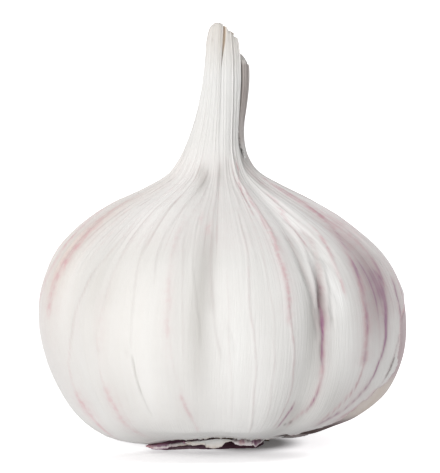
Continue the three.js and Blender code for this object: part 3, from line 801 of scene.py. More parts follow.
def write_masks(piece, masks):
    """Stores the piece's colour masks; the ones not given are 0."""
    for name in MASKS:
        write_mask(piece, name, masks.get(name, 0.0))


# ---- Materials ---------------------------------------------------------------------------

def new_group(name, inputs, outputs):
    """A node group with its sockets; each socket is a name with its type."""
    group = bpy.data.node_groups.new(name, "ShaderNodeTree")
    for label, kind in inputs.items():
        group.interface.new_socket(label, in_out="INPUT", socket_type="NodeSocket" + kind)
    for label, kind in outputs.items():
        group.interface.new_socket(label, in_out="OUTPUT", socket_type="NodeSocket" + kind)
    entry = group.nodes.new("NodeGroupInput")
    leave = group.nodes.new("NodeGroupOutput")
    return group, entry, leave


def noise(tree, vector, scale, detail, roughness=0.55):
    """Noise from 0 to 1 at this scale."""
    texture = tree.nodes.new("ShaderNodeTexNoise")
    texture.inputs["Scale"].default_value = scale
    texture.inputs["Detail"].default_value = detail
    texture.inputs["Roughness"].default_value = roughness
    tree.links.new(vector, texture.inputs["Vector"])
    return texture.outputs["Fac"]


def remap(tree, value, low, high, to_low=0.0, to_high=1.0):
    """Takes a range of values to another one, easing at both ends."""
    ranged = tree.nodes.new("ShaderNodeMapRange")
    ranged.interpolation_type = "SMOOTHSTEP"
    ranged.inputs["From Min"].default_value = low
    ranged.inputs["From Max"].default_value = high
    ranged.inputs["To Min"].default_value = to_low
    ranged.inputs["To Max"].default_value = to_high
    tree.links.new(value, ranged.inputs["Value"])
    return ranged.outputs["Result"]


def maths(tree, operation, first, second):
    """One sum on two values, each of them a number or a socket."""
    node = tree.nodes.new("ShaderNodeMath")
    node.operation = operation
    for socket, value in zip(node.inputs, (first, second)):
        if isinstance(value, (int, float)):
            socket.default_value = value
        else:
            tree.links.new(value, socket)
    return node.outputs["Value"]


def mixed(tree, share, first, second):
    """A mix of two colours; each input is a value, a colour or a socket."""
    node = tree.nodes.new("ShaderNodeMix")
    node.data_type = "RGBA"
    sockets = (node.inputs[0], node.inputs[6], node.inputs[7])
    for socket, value in zip(sockets, (share, first, second)):
        if isinstance(value, (int, float)):
            socket.default_value = value
        elif isinstance(value, tuple):
            socket.default_value = (*value, 1)
        else:
            tree.links.new(value, socket)
    return node.outputs[2]


# The pale ink serves the skin's paler places and also paints highlights.
PALE_AND_HIGHLIGHT_INK = (0.86, 0.86, 0.845)
PINK_INK = (0.62, 0.30, 0.335)
PURPLE_INK = (0.28, 0.11, 0.22)
MAUVE_INK = (0.42, 0.32, 0.34)
GREY_AND_SHADE_INK = (0.50, 0.49, 0.47)
# The grey ink mostly paints shade.
TAN_INK = (0.62, 0.50, 0.38)
# The dark brown ink also paints shadow in slits and under the bulb.
BROWN_AND_SHADOW_INK = (0.075, 0.035, 0.03)


def make_fibre_group():
    """Long fibres in dry skin, from a direction field that runs along them."""
    group, entry, leave = new_group(
        "dry_fibres", {"Grain": "Vector"}, {"Fine": "Float", "Broad": "Float"})
    fine = noise(group, entry.outputs["Grain"], 2.6, 3.0, 0.65)
    broad = noise(group, entry.outputs["Grain"], 0.55, 2.0)
    group.links.new(fine, leave.inputs["Fine"])
    group.links.new(broad, leave.inputs["Broad"])
    return group


def make_tint_group():
    """Lays the skin's colours and its painted highlights, shade and shadow over a base colour; veins
    are broken into dashes and dots.
    """
    sockets = {"Base": "Color", "Place": "Vector", "Broad": "Float"}
    sockets.update({name.title(): "Float" for name in MASKS})
    group, entry, leave = new_group("skin_tint", sockets, {"Color": "Color"})
    place = entry.outputs["Place"]
    dots = remap(group, noise(group, place, 800, 2.0, 0.6), 0.4, 0.6, 0.5, 1.0)
    clouds = remap(group, noise(group, place, 260, 2.0), 0.35, 0.65, 0.78, 1.0)
    streaks = remap(group, entry.outputs["Broad"], 0.3, 0.7, 0.75, 1.0)
    pink = maths(group, "MULTIPLY", entry.outputs["Pink"], dots)
    purple = maths(group, "MULTIPLY", entry.outputs["Purple"], clouds)
    purple = maths(group, "MULTIPLY", purple, streaks)
    deep = remap(group, purple, 0.35, 0.8)
    purple_ink = mixed(group, deep, MAUVE_INK, PURPLE_INK)
    tan = maths(group, "MULTIPLY", entry.outputs["Tan"], streaks)
    mottled = remap(group, clouds, 0.78, 1.0, 0.9, 1.0)
    brown = maths(group, "MULTIPLY", entry.outputs["Brown"], mottled)
    # Pale paints highlights, grey paints shade and brown paints shadow, as well as the skin's own
    # colours.
    colour = mixed(group, entry.outputs["Pale"], entry.outputs["Base"], PALE_AND_HIGHLIGHT_INK)
    colour = mixed(group, entry.outputs["Grey"], colour, GREY_AND_SHADE_INK)
    colour = mixed(group, tan, colour, TAN_INK)
    colour = mixed(group, pink, colour, PINK_INK)
    colour = mixed(group, purple, colour, purple_ink)
    colour = mixed(group, brown, colour, BROWN_AND_SHADOW_INK)
    group.links.new(colour, leave.inputs["Color"])
    return group


FIBRE_GROUP = make_fibre_group()
TINT_GROUP = make_tint_group()


FIBRE_BUMP = 0.12


def skin_material(name, pale, dull, roughness=0.55, sheen=0.0):
    """Dry skin between a pale and a duller colour, tinted by the piece's masks."""
    material = bpy.data.materials.new(name)
    material.use_nodes = True
    tree = material.node_tree
    shader = tree.nodes["Principled BSDF"]
    shader.inputs["IOR"].default_value = 1.4
    shader.inputs["Specular IOR Level"].default_value = 0.35
    shader.inputs["Sheen Weight"].default_value = sheen
    place = tree.nodes.new("ShaderNodeTexCoord").outputs["Object"]
    grain = tree.nodes.new("ShaderNodeAttribute")
    grain.attribute_name = "grain"
    fibres = tree.nodes.new("ShaderNodeGroup")
    fibres.node_tree = FIBRE_GROUP
    tree.links.new(grain.outputs["Vector"], fibres.inputs["Grain"])
    patches = remap(tree, noise(tree, place, 110, 4.0), 0.3, 0.7)
    worn = maths(tree, "MULTIPLY", patches, fibres.outputs["Broad"])
    tint = tree.nodes.new("ShaderNodeGroup")
    tint.node_tree = TINT_GROUP
    tree.links.new(mixed(tree, worn, pale, dull), tint.inputs["Base"])
    tree.links.new(place, tint.inputs["Place"])
    tree.links.new(fibres.outputs["Broad"], tint.inputs["Broad"])
    for mask in MASKS:
        reader = tree.nodes.new("ShaderNodeAttribute")
        reader.attribute_name = mask
        tree.links.new(reader.outputs["Fac"], tint.inputs[mask.title()])
    tree.links.new(tint.outputs["Color"], shader.inputs["Base Color"])
    shine = remap(tree, fibres.outputs["Fine"], 0.3, 0.7, roughness - 0.08, roughness + 0.12)
    tree.links.new(shine, shader.inputs["Roughness"])
    relief = tree.nodes.new("ShaderNodeBump")
    relief.inputs["Strength"].default_value = 0.6
    relief.inputs["Distance"].default_value = FIBRE_BUMP * MM
    tree.links.new(fibres.outputs["Fine"], relief.inputs["Height"])
    tree.links.new(relief.outputs["Normal"], shader.inputs["Normal"])
    return material


WHITE_PAPER = skin_material("white_paper", (0.74, 0.733, 0.715), (0.67, 0.66, 0.64), sheen=0.35)
WORN_PAPER = skin_material("worn_paper", (0.87, 0.85, 0.825), (0.77, 0.72, 0.67), roughness=0.6)
MAUVE_SKIN = skin_material("mauve_skin", (0.62, 0.54, 0.55), (0.48, 0.42, 0.42), roughness=0.5)
SHEATH_SKIN = skin_material("sheath_skin", (0.54, 0.485, 0.46), (0.37, 0.315, 0.30), roughness=0.65)
CREAM_SKIN = skin_material("cream_skin", (0.82, 0.77, 0.69), (0.66, 0.58, 0.48), roughness=0.65)
PINKISH_PAPER = skin_material("pinkish_paper", (0.92, 0.87, 0.87), (0.86, 0.79, 0.79), roughness=0.6)
PURPLE_LINING = skin_material("purple_lining", (0.36, 0.14, 0.24), (0.22, 0.07, 0.13), roughness=0.5)
# Near black, for the sheet of painted shade under the bulb's front.
SHADOW_LINING = skin_material("shadow_lining", (0.09, 0.035, 0.06), (0.045, 0.016, 0.024), roughness=0.6)
ROOT_FIBRE = skin_material("root_fibre", (0.50, 0.40, 0.27), (0.28, 0.20, 0.13), roughness=0.85)


# ---- The white bulb ----------------------------------------------------------------------

BULB_SEGMENTS = 800
# Rings of vertices between stations: from, to, count. They're closest on the thin neck.
RING_PLAN = [(0, 7, 14), (7, 15, 44), (15, 20, 22), (20, 25, 22), (25, 29, 20)]
HIDDEN_UNDER = 2.4


def ring_stations():
    """The stations of the bulb's rings of vertices."""
    stations = [0.0]
    for start, end, count in RING_PLAN:
        stations.extend(np.linspace(start, end, count + 1)[1:])
    return np.array(stations)


def make_bulb_skin():
    """The white skin of the whole bulb, from the hollow over the roots into the cut neck."""
    stations = ring_stations()
    rings = len(stations) - 1
    deselect_all()
    bpy.ops.mesh.primitive_uv_sphere_add(segments=BULB_SEGMENTS // 2, ring_count=rings // 2)
    piece = bpy.context.object
    piece.name = "bulb_skin"
    subdivide(1)
    sphere = read_points(piece)
    sphere = sphere / np.linalg.norm(sphere, axis=1, keepdims=True)
    rise = np.arccos(np.clip(-sphere[:, 2], -1, 1)) / np.pi
    ring = np.rint(rise * rings).astype(int)
    station = stations[ring]
    bearing = np.degrees(np.arctan2(sphere[:, 0], -sphere[:, 1]))
    bearing = np.where(ring == rings, 90.0, bearing)
    smooth, height, radius = smooth_place(bearing, station)
    inside = tear_distance(bearing, station)
    drop = smoothstep(inside, -HIDDEN_UNDER, -HIDDEN_UNDER + 1.2) * smoothstep(station, 5.7, 6.1)
    drop = drop * (station < 20)
    relief = skin_relief(bearing, station, height, radius) * smoothstep(station, 1, 3)
    points = smooth + outward(bearing, station) * (relief - RECESS_DEPTH * drop)[:, None]
    at_pole = (ring == 0) | (ring == rings)
    points[at_pole] = smooth[at_pole]
    points[:, 2] += 0.16 * waviness(61, bearing, 0, 40, 0) * window(station, 25.6, 26.6, 0.5)
    write_points(piece, points)
    write_masks(piece, skin_masks(bearing, station, height, radius))
    write_grain(piece, wander(bearing, height), arc_of(station))
    dress(piece, WHITE_PAPER, "paper_skin", "bulb")


make_bulb_skin()


# ---- The tear: bare skin within it, and the wrapper's torn edge --------------------------

BARE_SUNK = 0.07


def make_bare_skin():
    """The coloured skin beneath the tear, which also runs a little way under the wrapper."""
    piece, across, up = grid_piece("bare_skin_visual", 360, 90)
    under = lerp(-1.6, 1.6, across) * np.abs(2 * across - 1) ** 8
    front, back, low, high = tear_edges(across, up)
    bearing = lerp(front, back, across) + under * 2.2
    station = lerp(low - 0.1, high + 0.45, up)
    smooth, height, radius = smooth_place(bearing, station)
    covered = 1 - smoothstep(tear_distance(bearing, station), -3.4, -1.9)
    relief = skin_relief(bearing, station, height, radius) - BARE_SUNK - 0.8 * covered
    relief += 0.05 * waviness(67, bearing, height, 20, 0.8)
    write_points(piece, smooth + outward(bearing, station) * relief[:, None])
    veins = from_table(THREADS, bearing)
    uneven = 0.5 + 0.5 * waviness(71, bearing, height, 6, 0.5)
    strands = 1.5 * waviness(72, bearing, height, 7, 0.3) + 1.1 * from_table(FIBRES, bearing)
    level = height + strands * smoothstep(bearing, 70, 84)
    # Dark brown low down, where the skin turns under the bulb: brown skin with painted shade.
    brown = (1 - smoothstep(level, 3.0, 6.0)) * (0.95 + 0.2 * uneven)
    masks = {
        "pink": 0.25 * uneven * smoothstep(level, 10, 14),
        "purple": np.clip((0.4 + 0.6 * veins) * smoothstep(level, 10, 14), 0, 1),
        "pale": 0.6 * window(level, 6, 10.5, 2) * (0.6 + 0.4 * uneven),
        "tan": 0.5 * window(level, 6, 10.5, 2) * (0.6 + 0.4 * uneven),
        "brown": np.clip(brown, 0, 1),
    }
    write_masks(piece, masks)
    write_grain(piece, bearing, arc_of(station))
    dress(piece, MAUVE_SKIN, "deeper_skin", "bare_skin", thickness=0.25)


# The wrapper's edge: its width, how deep its far side lies in the bulb, and its corners, as
# shares of its length.
WRAPPER_WIDTH = 4.4
WRAPPER_BURIED = 0.12
TOP_FRONT, TOP_BACK = 0.34, 0.72


def tear_path(along):
    """Bearing and arc along the tear: up its front edge, over its top and down its back."""
    up_front = np.clip(along / TOP_FRONT, 0, 1)
    over = np.clip((along - TOP_FRONT) / (TOP_BACK - TOP_FRONT), 0, 1)
    down_back = np.clip((1 - along) / (1 - TOP_BACK), 0, 1)
    front, _, low_front, high_front = tear_edges(np.zeros_like(along), up_front)
    _, back, low_back, high_back = tear_edges(np.ones_like(along), down_back)
    front_top, back_top, _, high_over = tear_edges(over, np.ones_like(along))
    bearing = np.where(along < TOP_FRONT, front, lerp(front_top, back_top, over))
    bearing = np.where(along > TOP_BACK, back, bearing)
    station = np.where(along < TOP_FRONT, lerp(low_front, high_front, up_front), high_over)
    station = np.where(along > TOP_BACK, lerp(low_back, high_back, down_back), station)
    return bearing, arc_of(station)


def make_wrapper_edge():
    """The white wrapper's edge along the tear: lifted, ragged, and sunk into the bulb behind."""
    columns, rows = 1100, 10
    piece, along, across = grid_piece("wrapper_edge", columns, rows)
    steps = np.linspace(0, 1, columns + 1)
    bearing_line, arc_line = tear_path(steps)
    bearing_line, arc_line = softened(bearing_line, 9), softened(arc_line, 9)
    _, _, radius_line = smooth_place(bearing_line, station_of(arc_line))
    east = np.gradient(bearing_line) * np.pi / 180 * radius_line
    north = np.gradient(arc_line)
    length = np.hypot(softened(east, 40), softened(north, 40)) + 1e-9
    away_round, away_up = -softened(north, 40) / length, softened(east, 40) / length
    column = np.rint(along * columns).astype(int)
    ragged = -0.9 + 0.4 * torn_edge(81)(steps * 9) + 0.22 * torn_edge(82)(steps * 37)
    ragged -= 0.9 * np.clip(torn_edge(83)(steps * 5), 0, 1) ** 2
    spread = across * (WRAPPER_WIDTH + ragged[column]) - ragged[column]
    radius = np.maximum(radius_line[column], 3)
    bearing = bearing_line[column] + np.degrees(spread * away_round[column] / radius)
    station = station_of(arc_line[column] + spread * away_up[column])
    lift = 0.07 + 0.16 * np.clip(0.5 + torn_edge(84)(steps * 7), 0, 1) ** 2
    rise = lerp(lift[column], 0.06, smoothstep(across, 0, 0.45))
    rise = lerp(rise, -WRAPPER_BURIED, smoothstep(across, 0.5, 0.95))
    write_points(piece, on_skin(bearing, station, rise))
    _, height, radius = smooth_place(bearing, station)
    masks = skin_masks(bearing, station, height, radius)
    stained = 0.7 * bump(across, 0.1) * np.clip(0.4 + torn_edge(85)(steps * 6), 0, 1)[column]
    masks["pink"] = np.clip(masks["pink"] + stained, 0, 1)
    rim_brown = 0.5 * bump(across, 0.04) * smoothstep(3 - height, 0, 2)
    masks["brown"] = np.maximum(masks["brown"], rim_brown)
    write_masks(piece, masks)
    write_grain(piece, wander(bearing, height), arc_of(station))
    dress(piece, WHITE_PAPER, "paper_skin", thickness=0.16)


make_bare_skin()
make_wrapper_edge()


# ---- The cut neck ------------------------------------------------------------------------

SHEATH_FRONT, SHEATH_BACK, SHEATH_PINCH = 51, 102, 22
SHEATH_FOOT, SHEATH_TIP = 18.4, 24.3


def make_neck_sheath():
    """A dried inner sheath lying in the neck's groove, torn at its tip."""
    piece, across, up = grid_piece("neck_sheath_visual", 70, 200)
    pinch = SHEATH_PINCH * (1 - smoothstep(up, 0, 0.32))
    bearing = lerp(SHEATH_FRONT + pinch, SHEATH_BACK - pinch, across)
    tip = SHEATH_TIP - 1.1 * np.abs(across - 0.3) + 0.12 * torn_edge(91)(across * 2)
    station = lerp(SHEATH_FOOT, tip, up)
    smooth, height, _ = smooth_place(bearing, station)
    threads = from_table(THREADS, bearing * 2.5 + 2 * waviness(92, bearing, height, 3, 0.5))
    ridges = 0.2 * threads + 0.08 * waviness(93, bearing, height, 30, 0.6)
    lift = 0.46 - groove_depth(bearing) + ridges + 0.42 * smoothstep(height, 46, 61)
    write_points(piece, smooth + outward(bearing, station) * lift[:, None])
    pale_tip = smoothstep(up, 0.86, 0.97) * (0.7 + 0.3 * from_table(THREADS, bearing * 3))
    pale_foot = 1 - smoothstep(up, 0.02, 0.2)
    mottled = 0.55 * np.clip(threads + 0.3 * waviness(94, bearing, height, 20, 1.2), 0, 1)
    pale = 0.85 * pale_tip + 0.8 * pale_foot + 0.45 * mottled
    pale += 0.5 * smoothstep(bearing, 76, 90) + 0.3 * (1 - smoothstep(height, 50, 57))
    tan = 0.25 * pale_tip + 0.2 * mottled
    write_masks(piece, {"tan": tan, "pale": np.clip(pale, 0, 1), "purple": 0.1 * (1 - up)})
    write_grain(piece, bearing * 3, arc_of(station))
    dress(piece, SHEATH_SKIN, "dry_sheath", "neck_sheath", thickness=0.3)


# Leaves rolled up in the cut neck: centre x, y, radius, turns, first bearing, foot, top.
ROLLED_LEAVES = [
    (0.75, -0.1, 1.1, 1.15, 40, 63.2, 66.6),
    (0.8, 0.15, 0.75, 1.4, 200, 63.2, 66.2),
    (0.9, 0.0, 0.3, 1.2, 120, 63.2, 66.0),
]


def make_rolled_leaves():
    """The tips of the rolled leaves that show in the cut neck."""
    for index, (x, y, radius, turns, first, foot, top) in enumerate(ROLLED_LEAVES):
        piece, around, up = grid_piece(f"rolled_leaf_{index + 1}", 90, 24)
        angle = np.radians(first + 360 * turns * around)
        uneven = 1 + 0.05 * waviness(97 + index, np.degrees(angle), 0, 8, 0)
        reach = radius * (1 - 0.22 * around) * uneven
        torn = top + 0.35 * torn_edge(101 + index)(around * 3) - 0.8 * around
        height = lerp(foot, torn, up)
        points = np.stack([x + reach * np.sin(angle), y - reach * np.cos(angle), height], -1)
        write_points(piece, points)
        write_masks(piece, {"tan": 0.55, "brown": 0.25 * smoothstep(up, 0.85, 1)})
        write_grain(piece, np.degrees(angle), height)
        dress(piece, CREAM_SKIN, "dry_sheath", thickness=0.14)


make_neck_sheath()
make_rolled_leaves()


# ---- The underside -----------------------------------------------------------------------

# Torn scraps by the roots: upper and lower edge from left to right, how ragged the lower edge
# is, how far the middle bulges, and spots as (x, share down, half x, half share, ink, strength).
LEFT_SCRAP = {
    "name": "base_skin_left_visual", "nodes": ["base_skin_left"],
    "seed": 3, "ragged": 0.06, "bulge": 0.1,
    "upper": [
        (-12.3, -11.2, 1.08), (-10.8, -11.0, 1.12), (-9.5, -10.8, 1.18), (-8.4, -10.5, 1.24),
        (-6.8, -10.2, 1.36), (-5.0, -9.8, 1.55), (-3.6, -9.6, 1.65),
    ],
    "lower": [
        (-12.3, -11.4, 1.04), (-11.3, -11.8, 0.68), (-10.0, -11.8, 0.58), (-8.8, -11.6, 0.6),
        (-8.55, -11.4, 0.93), (-6.8, -11.0, 1.05), (-5.0, -10.6, 1.12), (-3.6, -10.4, 1.15),
    ],
    "spots": [
        (-10.6, 0.0, 2.6, 0.45, "purple", 2.2), (-11.9, 0.5, 0.6, 0.9, "pink", 1.6),
        (-10.0, 1.05, 2.0, 0.16, "purple", 2.2), (-6.2, 0.0, 2.2, 0.25, "brown", 0.5),
        (-6.2, 1.0, 2.4, 0.2, "tan", 0.8), (-11.0, 0.3, 1.4, 0.35, "pink", 0.8),
    ],
}
MIDDLE_SCRAP = {
    "name": "base_skin_middle_visual", "nodes": [],
    "seed": 21, "ragged": 0.08, "bulge": 0.1,
    "upper": [
        (-6.2, -12.4, 1.8), (-5.56, -12.6, 1.96), (-3.57, -12.8, 2.06), (-2.4, -12.8, 2.26),
        (-0.9, -12.8, 2.42), (0.6, -12.8, 2.42), (1.6, -12.8, 2.2),
    ],
    "lower": [
        (-6.2, -12.6, 1.7), (-5.56, -13.0, 1.72), (-4.8, -13.3, 1.5), (-3.57, -13.4, 1.58),
        (-2.85, -13.4, 1.54), (-2.7, -13.6, 1.2), (-1.9, -13.6, 1.16), (-1.2, -13.6, 1.02),
        (-0.1, -13.5, 1.3), (0.2, -13.4, 1.66), (0.45, -13.3, 1.96), (1.6, -13.0, 2.12),
    ],
    "spots": [
        (-3.6, 0.9, 2.2, 0.3, "tan", 0.35), (-1.6, 1.0, 2.6, 0.3, "tan", 0.4),
        (-5.2, 0.3, 0.7, 0.5, "tan", 0.6), (-2.7, 0.9, 0.1, 0.4, "brown", 0.7),
        (-0.9, 1.05, 1.8, 0.1, "brown", 0.6), (-4.0, 1.05, 1.2, 0.1, "brown", 0.5),
        (-1.6, 0.2, 3.6, 0.3, "pale", 1.2),
    ],
}
RIGHT_SCRAP = {
    "name": "base_skin_right_visual", "nodes": ["base_skin_right"],
    "seed": 8, "ragged": 0.1, "bulge": 0.25,
    "upper": [
        (1.46, -11.1, 1.9), (2.2, -10.9, 2.2), (3.6, -10.7, 2.2), (5.2, -10.6, 2.15),
        (6.6, -10.6, 1.95),
    ],
    "lower": [
        (1.46, -11.4, 1.66), (2.1, -11.8, 1.4), (3.0, -12.0, 1.21), (4.0, -12.0, 1.22),
        (4.9, -11.9, 1.28), (5.3, -12.0, 0.93), (5.7, -11.7, 1.22), (6.6, -11.0, 1.84),
    ],
    "spots": [
        (3.1, 0.5, 0.45, 0.35, "pink", 1.4), (3.2, 0.35, 0.3, 0.3, "purple", 1.0),
        (5.5, 0.4, 0.8, 0.45, "purple", 2.4), (5.6, 0.3, 0.7, 0.4, "brown", 0.5),
        (4.2, 0.2, 0.5, 0.3, "brown", 0.6), (2.3, 0.2, 0.5, 0.25, "brown", 0.8),
    ],
}
# Not a scrap of skin: a dark sheet that paints the shade in the gap under the bulb's front.
SHADOW_SHEET = {
    "name": "shadow_sheet_under_visual", "nodes": [],
    "seed": 27, "ragged": 0.06, "bulge": 0.05,
    "upper": [
        (-12.2, -10.2, 0.9), (-10.8, -9.8, 1.5), (-9.0, -9.5, 1.8), (-4.0, -9.2, 1.9),
        (6.6, -8.8, 1.6),
    ],
    "lower": [
        (-12.2, -10.4, 0.7), (-11.4, -10.4, 0.4), (-9.2, -10.4, 0.26), (-5.2, -10.1, 0.28),
        (0.4, -9.9, 0.3), (5.4, -9.4, 0.36), (6.6, -9.0, 0.9),
    ],
    "spots": [
        (-11.0, 0.4, 2.0, 0.9, "pink", 0.35), (-6.0, 1.0, 4.0, 0.25, "purple", 0.5),
        (3.0, 0.3, 3.5, 0.7, "brown", 0.3),
    ],
}
BACK_SCRAP = {
    "name": "base_skin_back_visual", "nodes": ["base_skin_back"],
    "seed": 14, "ragged": 0.3, "bulge": 0.0,
    "upper": [(-3.6, 8.4, 0.9), (-0.6, 8.9, 0.9), (2.4, 8.8, 0.8), (5.0, 7.8, 0.8)],
    "lower": [(-3.6, 10.3, 0.4), (-0.6, 10.9, 0.35), (2.4, 10.8, 0.35), (5.0, 9.7, 0.4)],
    "spots": [(1.0, 1.0, 4.0, 0.3, "tan", 0.7), (-2.0, 1.0, 1.5, 0.2, "purple", 0.6)],
}


LOWEST_SCRAP = 0.18


def edge_points(edge, x):
    """Points on a scrap's edge at these distances from left to right."""
    places, depths, heights = np.array(edge).T
    return np.stack([x, np.interp(x, places, depths), np.interp(x, places, heights)], -1)


def make_scrap(scrap, face, back):
    """A torn scrap of skin, with one material on its face and another on its back."""
    piece, along, up = grid_piece(scrap["name"], 110, 14)
    first, last = scrap["upper"][0], scrap["upper"][-1]
    down = 1 - up
    x = lerp(first[0], last[0], along if first[1] < 0 else 1 - along)
    upper, lower = edge_points(scrap["upper"], x), edge_points(scrap["lower"], x)
    points = lerp(upper, lower, down[:, None])
    inwards = -np.sign(upper[:, 1])
    points[:, 1] -= inwards * scrap["bulge"] * np.sin(np.pi * down)
    torn = scrap["ragged"] * torn_edge(scrap["seed"])(along * 2.5) * smoothstep(down, 0.45, 1)
    points[:, 2] += torn + 0.04 * torn_edge(scrap["seed"] + 1)(along * 3)
    points[:, 2] = np.maximum(points[:, 2], LOWEST_SCRAP)
    write_points(piece, points)
    uneven = np.clip(0.85 + 0.5 * torn_edge(scrap["seed"] + 2)(along * 8), 0.3, 1.2)
    masks = {}
    for spot_x, spot_down, half_x, half_down, ink, strength in scrap["spots"]:
        spot = bump(x - spot_x, half_x) * bump(down - spot_down, half_down)
        masks[ink] = np.clip(masks.get(ink, 0) + strength * spot * uneven, 0, 1)
    write_masks(piece, masks)
    write_grain(piece, along * 14, down * 9)
    dress(piece, face, "purple_skin", *scrap["nodes"], thickness=0.14, lining=back)


HEM_FRONT, HEM_BACK = -50, 40


def make_torn_hem():
    """The wrapper's torn lower edge in front, hanging just clear of the underside."""
    piece, across, up = grid_piece("torn_hem", 600, 8)
    down = 1 - up
    bearing = lerp(HEM_FRONT, HEM_BACK, across)
    torn = torn_edge(151)(across * 9) + 0.6 * torn_edge(152)(across * 31)
    length = (0.36 + 0.3 * torn) * smoothstep(across, 0.1, 0.4) * (1 - smoothstep(across, 0.95, 1))
    points = on_skin(bearing, lerp(5.75, 5.3, down), 0.03 + 0.05 * down)
    hang = length * smoothstep(down, 0.2, 1)
    points[:, 2] -= 0.45 * hang
    points[:, 1] -= 0.1 * hang
    write_points(piece, points)
    edge = smoothstep(down, 0.35, 1)
    spots = np.clip(0.2 + 1.5 * torn_edge(153)(across * 14), 0, 1)
    reddish = window(bearing, -9, 14, 3)
    masks = {
        "brown": edge * np.clip(0.9 * reddish * spots + 0.25 * spots, 0, 1),
        "tan": 0.6 * edge * np.clip(0.6 + torn_edge(154)(across * 11), 0, 1),
        "purple": 0.5 * edge * window(bearing, 6, 36, 4) * spots,
    }
    write_masks(piece, masks)
    write_grain(piece, bearing, down * 2)
    dress(piece, WHITE_PAPER, "paper_skin", thickness=0.1)


def make_root_collar():
    """The wrapper's torn lower edge round the roots."""
    piece, around, up = grid_piece("root_collar", 700, 8)
    bearing = around * 360 - 180
    low = 2.25 + 0.3 * waviness(111, bearing, 0, 24, 0) + 0.15 * waviness(112, bearing, 0, 90, 0)
    station = lerp(low, 3.6, up)
    rise = lerp(0.28, -0.06, smoothstep(up, 0, 0.9))
    smooth = smooth_point(bearing, station)
    write_points(piece, smooth + outward(bearing, station) * rise[:, None])
    spots = np.clip(0.5 + 1.2 * waviness(113, bearing, 0, 30, 0), 0, 1) * (1 - up)
    write_masks(piece, {"brown": 0.7 * spots, "tan": 0.6 * (1 - up), "pink": 0.3 * spots})
    write_grain(piece, bearing, arc_of(station))
    dress(piece, CREAM_SKIN, "dry_root", thickness=0.12)


PLATE_RADIUS, PLATE_SHOULDER, PLATE_HEIGHT = 5.6, 4.0, 1.7
# Roots: how many, and between which values each one's radius, start and length from the
# axis, height of its start and fall to its tip are drawn.
ROOT_COUNT = 150
ROOT_RADIUS, ROOT_TAPER = (0.17, 0.42), 0.55
ROOT_START, ROOT_LENGTH = (3.4, 4.6), (1.4, 3.9)
ROOT_LEVEL, ROOT_FALL = (0.45, 1.3), (0.1, 0.75)


def make_root_plate():
    """The disc of old stem, with a mat of cut dry roots round its rim."""
    deselect_all()
    bpy.ops.mesh.primitive_cylinder_add(vertices=96, radius=1, depth=2, end_fill_type="TRIFAN")
    piece = bpy.context.object
    piece.name = "root_plate_visual"
    subdivide(3)
    points = read_points(piece)
    radius = np.hypot(points[:, 0], points[:, 1])
    bearing = np.degrees(np.arctan2(points[:, 0], -points[:, 1]))
    up = (points[:, 2] + 1) / 2
    widest = np.where(up > 0.6, lerp(PLATE_RADIUS, PLATE_SHOULDER, (up - 0.6) / 0.4), PLATE_RADIUS)
    widest = widest * (1 + 0.04 * waviness(121, bearing, 0, 14, 0))
    cracked = 0.25 * waviness(123, bearing * 2, radius * 5, 10, 0.9) * (radius < 0.99)
    points[:, :2] *= widest[:, None]
    points[:, 2] = up * PLATE_HEIGHT + np.where(up < 0.01, 0.3 + cracked * 0.5, 0)
    write_points(piece, points)
    write_masks(piece, {"brown": 0.3})
    write_grain(piece, bearing, points[:, 2] * 8)
    piece.data.materials.append(ROOT_FIBRE)
    settle(piece, "dry_root", "root_plate")


def make_roots():
    """One root is modelled and copied, each copy bent in its own way."""
    deselect_all()
    bpy.ops.mesh.primitive_cylinder_add(vertices=6, radius=1, depth=2, end_fill_type="TRIFAN")
    pattern = bpy.context.object
    pattern.name = "root_pattern"
    subdivide(2)
    shape = read_points(pattern)
    picks = draws(131, 9 * ROOT_COUNT).reshape(-1, 9)
    for index, (turned, size, start, length, fall, bend, curl, level, shade) in enumerate(picks):
        root = pattern.copy()
        root.data = pattern.data.copy()
        root.name = f"root_{index + 1:03d}"
        bpy.context.collection.objects.link(root)
        along = (shape[:, 2] + 1) / 2
        thick = lerp(*ROOT_RADIUS, size) * lerp(1, ROOT_TAPER, along)
        reach = lerp(*ROOT_START, start) + along * lerp(*ROOT_LENGTH, length)
        swing = np.radians((index + turned) * 360 / ROOT_COUNT) + (bend - 0.5) * along ** 2 * 0.5
        sunk = lerp(*ROOT_LEVEL, level) - along * lerp(*ROOT_FALL, fall)
        drop = sunk + (curl - 0.5) * 0.5 * along ** 2
        across, raised = shape[:, 0] * thick, shape[:, 1] * thick
        x = reach * np.sin(swing) + across * np.cos(swing)
        y = -reach * np.cos(swing) + across * np.sin(swing)
        z = np.maximum(drop + raised, 0.05)
        write_points(root, np.stack([x, y, z], -1))
        write_masks(root, {"brown": 0.6 * shade, "tan": 0.3})
        write_grain(root, across * 40, along * 6)
        dress(root, ROOT_FIBRE, "dry_root")
    bpy.data.objects.remove(pattern)


make_torn_hem()
make_scrap(LEFT_SCRAP, PINKISH_PAPER, PURPLE_LINING)
make_scrap(MIDDLE_SCRAP, WORN_PAPER, PURPLE_LINING)
make_scrap(RIGHT_SCRAP, PINKISH_PAPER, PURPLE_LINING)
# The dark sheet of painted shade under the bulb's front.
make_scrap(SHADOW_SHEET, SHADOW_LINING, CREAM_SKIN)
make_scrap(BACK_SCRAP, CREAM_SKIN, PURPLE_LINING)
make_root_collar()
make_root_plate()
make_roots()


# ---- Floor, light and camera -------------------------------------------------------------

# The table's glow: full strength away from the bulb, and painted shadows cut into it round
# the bulb's foot, each as (centre, half widths, where the shadow ends, how deep it is).
FLOOR_GLOW = 0.8
PAINTED_FLOOR_SHADOWS = [((4.5, -2.8), (5.0, 4.9), 2.0, 0.72), ((-5.0, -16.0), (13.0, 4.5), 2.0, 0.45)]
GLOW_AS_LIGHT = 0.06


